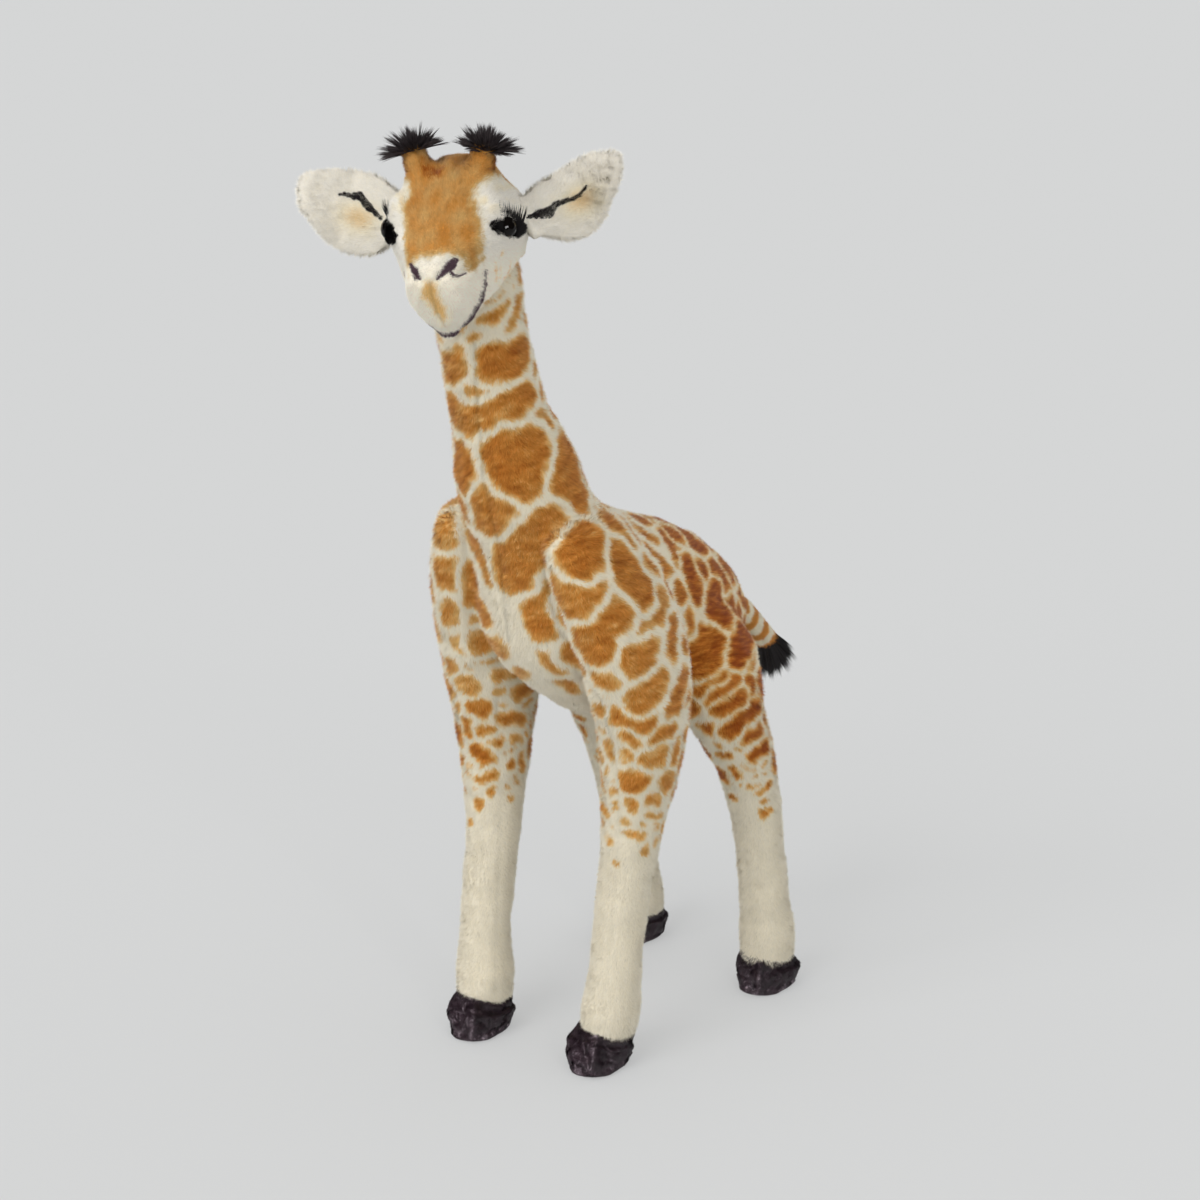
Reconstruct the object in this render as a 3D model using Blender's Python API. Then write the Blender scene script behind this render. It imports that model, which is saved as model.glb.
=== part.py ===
"""A standing plush giraffe calf on a bent steel wire frame.

Sizes are in metres. The toy faces -Y, its left side is +X, +Z is up and it stands on Z = 0.
The origin is at the middle of the toy's box, on the floor.
"""

import math

import bmesh
import bpy
from mathutils import Matrix, Vector
from mathutils.bvhtree import BVHTree

# Clearances
SEAM_GAP = 0.0003
PIVOT_GAP = 0.0005
CUT_OVERRUN = 0.004
CUP_FLARE_MARGIN = math.radians(9)

# Body
BODY_LENGTH = 0.53
BODY_DEPTH = 0.275
BODY_WIDTH = 0.2
BELLY_HEIGHT = 0.405
RUMP_BULGE = 0.014

# Legs and hooves
HOOF_SPACING = 0.354
FRONT_STANCE = 0.21
HIND_STANCE = 0.243
FRONT_STAGGER = 0.018
HIND_STAGGER = -0.02
LEG_DIAMETER = 0.066
SHOULDER_DEPTH = 0.176
HAUNCH_DEPTH = 0.17
HOOF_HEIGHT = 0.052
HOOF_LENGTH = 0.104
HOOF_WIDTH = 0.09

# Neck
NECK_BASE_DIAMETER = 0.15
NECK_TOP_DIAMETER = 0.102
NECK_LENGTH = 0.271
NECK_BASE_LEAN = math.radians(25)
NECK_LEAN = math.radians(16.1)

# Head
HEAD_LENGTH = 0.23
HEAD_HEIGHT = 0.215
HEAD_WIDTH = 0.16
HEAD_TURN = math.radians(22)
HEAD_ROLL = math.radians(3)
HEAD_NOD_RANGE = math.radians(10)
NOSE_BULGE = 0.01
SKULL_BULGE = 0.02

# Ears
EAR_LENGTH = 0.127
EAR_WIDTH = 0.092
EAR_THICKNESS = 0.013
EAR_ROOT_WIDTH = 0.054
EAR_ROOT_RADIUS = 0.009
EAR_CUP = 0.02
EAR_CUP_POWER = 1.7
EAR_ROOT_POWER = 0.4

# Horns
HORN_LENGTH = 0.024
HORN_ROOT = 0.02
HORN_SPLAY = math.radians(14)
HORN_BASE_DIAMETER = 0.046
HORN_TOP_DIAMETER = 0.036
HORN_TUFT_DIAMETER = 0.062
HORN_TUFT_HEIGHT = 0.026

# Tail
TAIL_LENGTH = 0.122
TAIL_ROOT_RADIUS = 0.019
TAIL_END_DIAMETER = 0.026
TAIL_TUFT_LENGTH = 0.07
TAIL_TUFT_DIAMETER = 0.038
TAIL_DROOP = math.radians(-41)
TAIL_TUFT_DROOP = math.radians(-60)
TAIL_SWING_RANGE = math.radians(20)
TAIL_BALL_TURNS = (math.radians(-60), math.radians(-30), 0, math.radians(26))

# Eyes
EYE_RADIUS = 0.0115
EYE_DOME = 0.0075
EYE_FLANGE = 0.003
EYE_STEM_RADIUS = 0.003
EYE_STEM_LENGTH = 0.015
EYE_WASHER_RADIUS = 0.008
EYE_WASHER_THICKNESS = 0.002
EYE_RIM_LENGTH = 0.05
EYE_RIM_HEIGHT = 0.032
EYE_RIM_THICKNESS = 0.0012
EYE_RIM_POWER = 0.8
LASH_LENGTH = 0.014
LASH_THICKNESS = 0.001
LASH_START = math.radians(20)
LASH_SWEEP = math.radians(140)

# Wire frame
WIRE_RADIUS = 0.003
NECK_PIVOT_LENGTH = 0.05

# Faces round each form
TORSO_SIDES = 24
HEAD_SIDES = 24
NECK_SIDES = 20
LEG_SIDES = 14
HOOF_SIDES = 18
EAR_SIDES = 16
SMALL_SIDES = 12
EYE_SIDES = 20
EYE_DOME_STEPS = 4
EYE_RIM_STEPS = 9
LASH_STEPS = 10
GROOVE_SIDES = 24
EAR_ROOT_STEPS = 3
WIRE_SIDES = 8
CUP_SIDES = 32
CUP_STEPS = 9

# Torso rows from rump to neck: upper place, lower place and half width.
# Places are (forward share of BODY_LENGTH, upward share of BODY_DEPTH above the belly).
TORSO_SHARES = (
    ((-0.443, 0.473), (-0.406, 0.150), 0.30),
    ((-0.377, 0.618), (-0.311, 0.040), 0.56),
    ((-0.283, 0.765), (-0.198, 0.000), 0.80),
    ((-0.160, 0.900), (-0.057, 0.000), 0.97),
    ((-0.019, 1.000), (0.123, 0.084), 1.03),
    ((0.075, 1.060), (0.283, 0.255), 1.03),
    ((0.142, 1.125), (0.411, 0.485), 0.98),
    ((0.198, 1.207), (0.445, 0.745), 0.89),
    ((0.242, 1.309), (0.476, 1.018), 0.79),
)
NECK_JOINT_SHARE = (0.389, 1.309)

# Neck rows: along and forward shares of NECK_LENGTH, and how far the diameter has gone to the top's.
NECK_SHARES = (
    (0.00, 0.000, 0.00),
    (0.13, 0.015, 0.20),
    (0.31, 0.037, 0.68),
    (0.50, 0.040, 0.86),
    (0.75, 0.034, 0.98),
    (1.00, 0.000, 1.00),
)

# Leg rows from the hoof up: height share between hoof and leg top, front and back places as
# shares of the shoulder or haunch depth, place to the side as a share of half the stance,
# and half width as a share of the leg's radius.
FRONT_LEG_SHARES = (
    (0.000, 0.125, -0.284, 0.92, 1.06),
    (0.034, 0.114, -0.307, 0.95, 1.09),
    (0.129, 0.062, -0.324, 1.00, 1.00),
    (0.276, -0.017, -0.415, 1.02, 1.03),
    (0.409, -0.045, -0.545, 1.08, 1.15),
    (0.541, 0.006, -0.690, 1.15, 1.42),
    (0.658, 0.120, -0.770, 1.15, 1.55),
    (0.776, 0.270, -0.715, 1.07, 1.50),
    (0.879, 0.400, -0.570, 0.94, 1.36),
    (0.955, 0.440, -0.370, 0.82, 1.12),
)
HIND_LEG_SHARES = (
    (0.000, 0.206, -0.218, 0.99, 1.06),
    (0.042, 0.230, -0.206, 0.99, 1.09),
    (0.178, 0.288, -0.112, 0.99, 1.00),
    (0.361, 0.410, 0.000, 0.99, 1.03),
    (0.526, 0.635, 0.120, 0.97, 1.18),
    (0.671, 0.960, 0.200, 0.87, 1.38),
    (0.817, 1.110, 0.200, 0.72, 1.50),
    (0.927, 0.950, 0.300, 0.40, 1.10),
)
FRONT_HOOF_ASIDE_SHARE = 0.89
HIND_HOOF_ASIDE_SHARE = 1.0
FRONT_LEG_TOP_SHARE = 1.19
HIND_LEG_TOP_SHARE = 0.709
LEG_DOME_SHARE = 0.04

# Hoof rows from the sole up: height, front, back and half width shares.
HOOF_SHARES = (
    (0.00, 0.44, -0.46, 0.84),
    (0.10, 0.50, -0.50, 0.96),
    (0.38, 0.50, -0.50, 1.00),
    (0.70, 0.42, -0.45, 0.93),
)

# Head rows from the back of the skull to the nose, seen from the side: upper place, lower place
# and half width. Places are (forward share of HEAD_LENGTH, upward share of HEAD_HEIGHT) from
# the nod centre.
HEAD_SHARES = (
    ((-0.205, 0.440), (-0.239, 0.023), 0.60),
    ((-0.096, 0.585), (-0.165, -0.150), 0.80),
    ((0.087, 0.655), (0.022, -0.225), 0.94),
    ((0.270, 0.645), (0.165, -0.250), 0.97),
    ((0.391, 0.545), (0.270, -0.265), 0.93),
    ((0.491, 0.428), (0.355, -0.275), 0.78),
    ((0.609, 0.275), (0.425, -0.280), 0.57),
    ((0.674, 0.130), (0.474, -0.265), 0.46),
)

# How much narrower the top of the head's rows is than their foot, at the back and at the nose.
HEAD_EGG_SHARES = (0.25, -0.60)

# Ear rows: along share of EAR_LENGTH, middle and half width shares of EAR_WIDTH, thickness share.
EAR_SHARES = (
    (0.05, -0.01, 0.28, 1.06),
    (0.18, -0.04, 0.37, 1.00),
    (0.36, -0.08, 0.47, 1.00),
    (0.56, -0.09, 0.50, 0.95),
    (0.76, -0.05, 0.43, 0.85),
    (0.91, 0.00, 0.27, 0.70),
)

# Horn outline: along share of HORN_LENGTH, and how far the diameter has gone to the top's.
HORN_ROOT_SHARE = 1.08
HORN_SHARES = ((0.33, 0.00), (0.67, 0.86), (1.00, 1.00))

# Tuft and tail outlines: along and radius shares.
HORN_TUFT_SHARES = ((0.00, 0.60), (0.20, 0.92), (0.48, 1.00), (0.76, 0.80))
TAIL_SHARES = ((0.30, 0.88), (0.65, 0.78), (1.00, 0.68))
TAIL_TUFT_SHARES = ((0.00, 0.62), (0.25, 0.90), (0.60, 1.00), (0.88, 0.80))

# Directions from the head's middle, in the head's own frame, as (turn to the side, lift)
EYE_AIM = (math.radians(57), math.radians(15))
EAR_AIM = (math.radians(90), math.radians(12))
HORN_AIM = (math.radians(40), math.radians(52))
EAR_RAISE = {"left": math.radians(25), "right": math.radians(17)}
EAR_SWEEP = {"left": math.radians(12), "right": math.radians(-12)}
EAR_HINGE_TILT = math.radians(12)
HEAD_MIDDLE_SHARE = (0.08, 0.24)
EYE_MIDDLE_SHARE = (0.16, 0.20)
TAIL_ORIGIN_SHARE = (-0.38, 0.40)

SIDES = {"left": 1, "right": -1}
ASIDE = Vector((1, 0, 0))
AHEAD = Vector((0, -1, 0))


def clear_scene():
    """Remove whatever the file starts with."""
    for obj in list(bpy.data.objects):
        bpy.data.objects.remove(obj, do_unlink=True)


def material(name, colour, roughness, metallic=0.0):
    """A plain surface colour."""
    made = bpy.data.materials.new(name)
    made.use_nodes = True
    shader = made.node_tree.nodes["Principled BSDF"]
    shader.inputs["Base Color"].default_value = (*colour, 1.0)
    shader.inputs["Roughness"].default_value = roughness
    shader.inputs["Metallic"].default_value = metallic
    made.diffuse_color = (*colour, 1.0)
    return made


def materials():
    """Every finish of the toy, by name."""
    return {
        "coat": material("coat_fur", (0.48, 0.24, 0.07), 0.9),
        "cream": material("cream_fur", (0.78, 0.72, 0.58), 0.9),
        "black": material("black_fur", (0.012, 0.01, 0.011), 0.75),
        "hoof": material("hoof_velour", (0.035, 0.02, 0.03), 0.6),
        "eye": material("eye_plastic", (0.01, 0.008, 0.008), 0.08),
        "felt": material("eye_felt", (0.01, 0.009, 0.01), 0.85),
        "washer": material("washer_plastic", (0.8, 0.8, 0.78), 0.4),
        "wire": material("steel_wire", (0.55, 0.56, 0.57), 0.35, 1.0),
    }


def add_object(name, data, finish, parent):
    """Put data in the scene under a name."""
    obj = bpy.data.objects.new(name, data)
    bpy.context.scene.collection.objects.link(obj)
    if finish:
        obj.data.materials.append(finish)
    obj.parent = parent
    return obj


def add_empty(name, place, parent):
    """A pivot or a frame of the toy, at a place given in its parent's frame."""
    obj = bpy.data.objects.new(name, None)
    bpy.context.scene.collection.objects.link(obj)
    obj.matrix_local = place
    obj.parent = parent
    return obj


def hidden(obj):
    """Mark a cutter."""
    obj.hide_render = True
    obj.display_type = "WIRE"
    return obj


def spline(rows, steps):
    """Rows of equal length, with more read from a smooth curve through them."""
    found = []
    for at in range(len(rows) - 1):
        before = rows[max(at - 1, 0)]
        start = rows[at]
        end = rows[at + 1]
        after = rows[min(at + 2, len(rows) - 1)]
        for step in range(steps):
            t = step / steps
            point = []
            for a, b, c, d in zip(before, start, end, after):
                slope_in = (c - a) / 2
                slope_out = (d - b) / 2
                point.append(
                    b * (2 * t**3 - 3 * t**2 + 1)
                    + c * (3 * t**2 - 2 * t**3)
                    + slope_in * (t**3 - 2 * t**2 + t)
                    + slope_out * (t**3 - t**2)
                )
            found.append(point)
    found.append(list(rows[-1]))
    return found


def ring(one, other, side):
    """A ring between two opposite places, with its half width as a vector."""
    return ((one + other) / 2, (one - other) / 2, side)


def smooth_rings(rings, steps):
    """Rings read from a smooth curve through the given ones."""
    flat = [[*centre, *half, *side] for centre, half, side in rings]
    return [(Vector(row[0:3]), Vector(row[3:6]), Vector(row[6:9])) for row in spline(flat, steps)]


def dome_rings(last, pole, steps):
    """Rings that round a form off between its last ring and a pole."""
    centre, half, side = last
    rings = []
    for step in range(1, steps):
        turn = math.pi / 2 * step / steps
        rings.append((centre.lerp(pole, math.sin(turn)), half * math.cos(turn), side * math.cos(turn)))
    return rings


def form_mesh(name, rings, sides, first_pole=None, last_pole=None, eggs=(0, 0)):
    """A closed skin over rings. An end without a pole is cut flat, and eggs narrow one side."""
    shape = bmesh.new()
    loops = []
    for row, (centre, half, side) in enumerate(rings):
        egg = eggs[0] + (eggs[1] - eggs[0]) * row / (len(rings) - 1)
        loop = []
        for at in range(sides):
            turn = 2 * math.pi * at / sides
            aside = side * (math.sin(turn) * (1 - egg * math.cos(turn)))
            loop.append(shape.verts.new(centre + half * math.cos(turn) + aside))
        loops.append(loop)
    for lower, upper in zip(loops, loops[1:]):
        for at in range(sides):
            after = (at + 1) % sides
            shape.faces.new((lower[at], lower[after], upper[after], upper[at]))
    for loop, pole in ((loops[0], first_pole), (loops[-1], last_pole)):
        if pole is None:
            shape.faces.new(loop)
        else:
            tip = shape.verts.new(pole)
            for at in range(sides):
                shape.faces.new((loop[at], loop[(at + 1) % sides], tip))
    bmesh.ops.recalc_face_normals(shape, faces=shape.faces)
    bmesh.ops.triangulate(shape, faces=shape.faces)
    mesh = bpy.data.meshes.new(name)
    shape.to_mesh(mesh)
    shape.free()
    mesh.shade_smooth()
    return mesh


def grown(name, source, by, parent):
    """A cutter that follows a form at a distance."""
    mesh = source.copy()
    mesh.name = name
    normals = [vertex.normal.copy() for vertex in mesh.vertices]
    for vertex, normal in zip(mesh.vertices, normals):
        vertex.co += normal * by
    return hidden(add_object(name, mesh, None, parent))


def boolean(target, other, operation="DIFFERENCE"):
    """Cut or limit one object by another."""
    modifier = target.modifiers.new(other.name, "BOOLEAN")
    modifier.operation = operation
    modifier.object = other
    modifier.solver = "EXACT"


def tube(name, points, radius, across, finish, parent):
    """A round wire along points, none of whose parts runs along across."""
    rings = []
    for at, point in enumerate(points):
        before = points[max(at - 1, 0)]
        after = points[min(at + 1, len(points) - 1)]
        way = ((point - before).normalized() + (after - point).normalized()).normalized()
        one = way.cross(across).normalized()
        other = way.cross(one)
        stretch = 1 / max(way.dot((after - before).normalized()), 1 / 2)
        rings.append((point, one * radius * stretch, other * radius))
    return add_object(name, form_mesh(name, rings, WIRE_SIDES), finish, parent)


def turned(name, profile, sides):
    """A solid turned about Z from (radius, height) points that start and end on the axis."""
    rings = [
        (Vector((0, 0, height)), Vector((radius, 0, 0)), Vector((0, radius, 0)))
        for radius, height in profile[1:-1]
    ]
    first = Vector((0, 0, profile[0][1]))
    last = Vector((0, 0, profile[-1][1]))
    return form_mesh(name, rings, sides, first, last)


def facing(place, ahead, up):
    """A frame at a place whose Z points ahead and whose Y is as near up as it can be."""
    z = ahead.normalized()
    x = up.cross(z).normalized()
    y = z.cross(x)
    turn = Matrix((x, y, z)).transposed().to_4x4()
    return Matrix.Translation(place) @ turn


def hit(mesh, origin, ahead):
    """Where a line from inside a form leaves it."""
    tree = BVHTree.FromPolygons(
        [vertex.co for vertex in mesh.vertices], [face.vertices for face in mesh.polygons]
    )
    place, _, _, _ = tree.ray_cast(origin, ahead)
    return place


# Torso


def torso_place(share):
    """A place in the toy's middle plane."""
    return Vector((0, -share[0] * BODY_LENGTH, BELLY_HEIGHT + share[1] * BODY_DEPTH))


def neck_joint():
    """The middle of the seam between neck and torso, and the axis the neck turns on."""
    axis = Vector((0, -math.sin(NECK_BASE_LEAN), math.cos(NECK_BASE_LEAN)))
    return torso_place(NECK_JOINT_SHARE), axis


def neck_seam_ring(offset):
    """The round ring of the neck seam, moved along the neck's axis."""
    centre, axis = neck_joint()
    across = Vector((0, axis.z, -axis.y))
    half = across * (NECK_BASE_DIAMETER / 2)
    return (centre + axis * offset, half, Vector((NECK_BASE_DIAMETER / 2, 0, 0)))


def torso_mesh():
    """Barrel, rump and the root of the neck, cut flat at the neck seam."""
    rings = [
        ring(torso_place(upper), torso_place(lower), Vector((BODY_WIDTH / 2 * wide, 0, 0)))
        for upper, lower, wide in TORSO_SHARES
    ]
    rings.append(neck_seam_ring(-SEAM_GAP / 2))
    rings = smooth_rings(rings, 2)
    rump = rings[0]
    back = rump[1].cross(Vector((1, 0, 0))).normalized()
    pole = rump[0] + back * (RUMP_BULGE if back.y > 0 else -RUMP_BULGE)
    rings = list(reversed(dome_rings(rump, pole, 3))) + rings
    return form_mesh("torso", rings, TORSO_SIDES, first_pole=pole)


# Neck


def neck_frame():
    """Places along the neck and ahead of it, from the neck seam to the nod centre."""
    base, _ = neck_joint()
    along = Vector((0, -math.sin(NECK_LEAN), math.cos(NECK_LEAN)))
    ahead = Vector((0, -math.cos(NECK_LEAN), -math.sin(NECK_LEAN)))
    return base, along, ahead


def nod_centre():
    """The middle of the round top of the neck, which the head sits on."""
    base, along, _ = neck_frame()
    return base + along * NECK_LENGTH


def neck_rings():
    """Rings square to the neck's curved middle line."""
    base, along, ahead = neck_frame()
    middles = [base + (along * a + ahead * b) * NECK_LENGTH for a, b, _ in NECK_SHARES]
    rings = [neck_seam_ring(SEAM_GAP / 2)]
    for at in range(1, len(middles)):
        after = min(at + 1, len(middles) - 1)
        way = (middles[after] - middles[at - 1]).normalized()
        across = Vector((0, way.z, -way.y))
        radius = (NECK_BASE_DIAMETER + (NECK_TOP_DIAMETER - NECK_BASE_DIAMETER) * NECK_SHARES[at][2]) / 2
        rings.append((middles[at], across * radius, Vector((radius, 0, 0))))
    return rings


def neck_mesh():
    """The neck, with a round top for the head."""
    rings = neck_rings()
    top = rings[-1]
    way = Vector((1, 0, 0)).cross(top[1]).normalized()
    if way.z < 0:
        way = -way
    pole = top[0] + way * (NECK_TOP_DIAMETER / 2)
    rings = smooth_rings(rings, 2)
    return form_mesh("neck", rings + dome_rings(top, pole, 6), NECK_SIDES, last_pole=pole)


def neck_wire_path():
    """The wire's way up the neck: straight from the seam for the pivot, then along the middle."""
    base, axis = neck_joint()
    pivot_end = base + axis * NECK_PIVOT_LENGTH
    middles = [centre for centre, _, _ in neck_rings()[3:]]
    return pivot_end, [pivot_end] + middles


# Legs


def leg_sizes(end, side):
    """The table of a front or hind leg, its hoof's place, half the stance, depth and top."""
    sign = SIDES[side]
    if end == "front":
        ahead = -HOOF_SPACING / 2 + sign * FRONT_STAGGER / 2
        hoof = Vector((sign * FRONT_STANCE / 2 * FRONT_HOOF_ASIDE_SHARE, ahead, 0))
        top = BELLY_HEIGHT + FRONT_LEG_TOP_SHARE * BODY_DEPTH
        return FRONT_LEG_SHARES, hoof, FRONT_STANCE / 2, FRONT_STAGGER, SHOULDER_DEPTH, top
    ahead = HOOF_SPACING / 2 + sign * HIND_STAGGER / 2
    hoof = Vector((sign * HIND_STANCE / 2 * HIND_HOOF_ASIDE_SHARE, ahead, 0))
    top = BELLY_HEIGHT + HIND_LEG_TOP_SHARE * BODY_DEPTH
    return HIND_LEG_SHARES, hoof, HIND_STANCE / 2, HIND_STAGGER, HAUNCH_DEPTH, top


def leg_rings(end, side):
    """Rings of a leg from the hoof up. The stagger of the hooves fades out towards the body."""
    shares, hoof, stance, stagger, depth, top = leg_sizes(end, side)
    sign = SIDES[side]
    bottom = HOOF_HEIGHT + SEAM_GAP
    rings = []
    for height, front, back, aside, wide in shares:
        z = bottom + (top - bottom) * height
        x = sign * stance * aside
        middle = hoof.y - sign * stagger / 2 * (1 - (1 - height) ** 2)
        one = Vector((x, middle - front * depth, z))
        other = Vector((x, middle - back * depth, z))
        rings.append(ring(one, other, Vector((LEG_DIAMETER / 2 * wide, 0, 0))))
    return rings


def leg_form(end, side):
    """One leg, with its rounded top."""
    rings = leg_rings(end, side)
    last = rings[-1]
    pole = last[0] + Vector((0, 0, LEG_DOME_SHARE * leg_sizes(end, side)[-1]))
    skin = smooth_rings(rings, 2) + dome_rings(last, pole, 3)
    return form_mesh(f"{end}_leg_{side}", skin, LEG_SIDES, last_pole=pole)


def leg_wire_path(end, side, gap):
    """A wire's way up inside one leg and across to the toy's middle plane, longer by gap."""
    rows = {"front": (0, 2, 3, 4, 5, 7), "hind": (0, 2, 3, 4, 5, 6)}[end]
    rings = leg_rings(end, side)
    foot = rings[0][0].copy()
    foot.z = HOOF_HEIGHT / 2
    bend = [foot] + [rings[row][0].copy() for row in rows]
    middle = bend[-1].copy()
    middle.x = SIDES[side] * (WIRE_RADIUS - gap)
    middle.y = leg_bar_middle(end).y
    bend = spline([list(point) for point in bend + [middle]], 2)
    foot.z -= gap
    return [foot] + [Vector(point) for point in bend[1:]]


def leg_bar_middle(end):
    """Where the wires of the left and right legs meet."""
    row = {"front": 7, "hind": 6}[end]
    tops = [leg_rings(end, side)[row][0] for side in SIDES]
    return (tops[0] + tops[1]) / 2


# Hooves


def hoof_mesh(end, side):
    """A stuffed hoof with a flat sole, closing in to the leg above it."""
    hoof = leg_sizes(end, side)[1]
    rings = []
    for height, front, back, wide in HOOF_SHARES:
        rise = Vector((0, 0, height * HOOF_HEIGHT))
        one = hoof + rise - Vector((0, front * HOOF_LENGTH, 0))
        other = hoof + rise - Vector((0, back * HOOF_LENGTH, 0))
        rings.append(ring(one, other, Vector((HOOF_WIDTH / 2 * wide, 0, 0))))
    centre, half, width = leg_rings(end, side)[0]
    rings.append((Vector((centre.x, centre.y, HOOF_HEIGHT)), half, width))
    return form_mesh(f"{end}_hoof_{side}", rings, HOOF_SIDES)


# Head


def head_frame():
    """The head's own frame: X to the toy's left, Y backwards, Z up, at the nod centre."""
    turn = Matrix.Rotation(HEAD_TURN, 4, "Z") @ Matrix.Rotation(-HEAD_ROLL, 4, "Y")
    return Matrix.Translation(nod_centre()) @ turn


def head_place(share):
    """A place in the head's middle plane, in its own frame."""
    return Vector((0, -share[0] * HEAD_LENGTH, share[1] * HEAD_HEIGHT))


def head_mesh():
    """Skull, face and jaw as one swelling form, in the head's own frame."""
    rings = [
        ring(head_place(upper), head_place(lower), Vector((HEAD_WIDTH / 2 * wide, 0, 0)))
        for upper, lower, wide in HEAD_SHARES
    ]
    rings = smooth_rings(rings, 2)
    back, front = rings[0], rings[-1]
    behind = Vector((0, back[1].z, -back[1].y)).normalized()
    ahead = -Vector((0, front[1].z, -front[1].y)).normalized()
    back_pole = back[0] + behind * SKULL_BULGE
    nose_pole = front[0] + ahead * NOSE_BULGE
    rings = list(reversed(dome_rings(back, back_pole, 3))) + rings + dome_rings(front, nose_pole, 3)
    return form_mesh("head", rings, HEAD_SIDES, back_pole, nose_pole, HEAD_EGG_SHARES)


def head_aim(aim, sign):
    """A direction in the head's frame, from a turn to the side and a lift."""
    turn, lift = aim
    return Vector(
        (sign * math.sin(turn) * math.cos(lift), -math.cos(turn) * math.cos(lift), math.sin(lift))
    )


def ball_cup(name, radius, swing, reach):
    """What a round end sweeps as it swings: a ball and the cone tangent to it, opening downwards."""
    flare = swing + CUP_FLARE_MARGIN
    step_turn = (math.pi / 2 - flare) / CUP_STEPS
    radius /= math.cos(math.pi / CUP_SIDES) * math.cos(step_turn / 2)
    arc = [math.pi / 2 - step_turn * step for step in range(CUP_STEPS + 1)]
    profile = [(radius * math.cos(turn), radius * math.sin(turn)) for turn in arc]
    end = profile[-1]
    profile.append((end[0] + reach * math.sin(flare), end[1] - reach * math.cos(flare)))
    profile.append((0, profile[-1][1]))
    return turned(name, profile, CUP_SIDES)


def nod_cup():
    """Room for the neck's round top as the head nods."""
    return ball_cup("nod_cup", NECK_TOP_DIAMETER / 2 + PIVOT_GAP, HEAD_NOD_RANGE, HEAD_HEIGHT)


# Small pieces of the head


def eye_frame(skin, sign):
    """Where an eye sits on the face, facing out of it."""
    ahead = head_aim(EYE_AIM, sign)
    place = hit(skin, head_place(EYE_MIDDLE_SHARE), ahead)
    return facing(place, ahead, Vector((0, 0, 1)))


def eye_mesh(side):
    """A domed plastic eye with its flange and stem, turned about its own axis."""
    profile = [(0, EYE_DOME)]
    for step in range(1, EYE_DOME_STEPS + 1):
        turn = math.pi / 2 * step / EYE_DOME_STEPS
        profile.append((EYE_RADIUS * math.sin(turn), EYE_DOME * math.cos(turn)))
    profile.append((EYE_RADIUS, -EYE_FLANGE))
    profile.append((EYE_STEM_RADIUS, -EYE_FLANGE))
    profile.append((EYE_STEM_RADIUS, -EYE_FLANGE - EYE_STEM_LENGTH))
    profile.append((0, -EYE_FLANGE - EYE_STEM_LENGTH))
    mesh = turned(f"eye_{side}", profile, EYE_SIDES)
    mesh.set_sharp_from_angle(angle=math.radians(40))
    return mesh


def eye_pocket():
    """Room for an eye's flange, stem and washer."""
    back = -EYE_FLANGE - EYE_STEM_LENGTH - PIVOT_GAP
    seat = -EYE_FLANGE - SEAM_GAP
    profile = [
        (0, EYE_DOME + CUT_OVERRUN),
        (EYE_RADIUS + SEAM_GAP, EYE_DOME + CUT_OVERRUN),
        (EYE_RADIUS + SEAM_GAP, seat),
        (EYE_WASHER_RADIUS + SEAM_GAP, seat),
        (EYE_WASHER_RADIUS + SEAM_GAP, back),
        (0, back),
    ]
    return turned("eye_pocket", profile, EYE_SIDES)


def washer_mesh(side):
    """The lock washer on an eye's stem."""
    shape = bmesh.new()
    top = -EYE_FLANGE - EYE_WASHER_THICKNESS
    loops = []
    for radius, height in (
        (EYE_STEM_RADIUS + SEAM_GAP, top),
        (EYE_WASHER_RADIUS, top),
        (EYE_WASHER_RADIUS, top - EYE_WASHER_THICKNESS),
        (EYE_STEM_RADIUS + SEAM_GAP, top - EYE_WASHER_THICKNESS),
    ):
        made = bmesh.ops.create_circle(shape, segments=EYE_SIDES, radius=radius)["verts"]
        bmesh.ops.translate(shape, verts=made, vec=(0, 0, height))
        loops.append(made)
    for lower, upper in zip(loops, loops[1:] + loops[:1]):
        for at in range(EYE_SIDES):
            after = (at + 1) % EYE_SIDES
            shape.faces.new((lower[at], lower[after], upper[after], upper[at]))
    bmesh.ops.recalc_face_normals(shape, faces=shape.faces)
    mesh = bpy.data.meshes.new(f"eye_washer_{side}")
    shape.to_mesh(mesh)
    shape.free()
    return mesh


def rim_mesh(side):
    """An almond shape pushed through the face, which the shell of the face then limits."""
    outline = []
    for half in (1, -1):
        for step in range(EYE_RIM_STEPS):
            share = step / EYE_RIM_STEPS
            across = half * (1 - 2 * share) * EYE_RIM_LENGTH / 2
            up = half * math.sin(math.pi * share) ** EYE_RIM_POWER * EYE_RIM_HEIGHT / 2
            outline.append((across, up))
    deep = EYE_RIM_LENGTH / 2
    shape = bmesh.new()
    front = [shape.verts.new((x, y, deep)) for x, y in outline]
    rear = [shape.verts.new((x, y, -deep / 2)) for x, y in outline]
    shape.faces.new(front)
    shape.faces.new(rear)
    for at in range(len(outline)):
        after = (at + 1) % len(outline)
        shape.faces.new((front[at], front[after], rear[after], rear[at]))
    bmesh.ops.recalc_face_normals(shape, faces=shape.faces)
    mesh = bpy.data.meshes.new(f"eye_rim_{side}")
    shape.to_mesh(mesh)
    shape.free()
    return mesh


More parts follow.
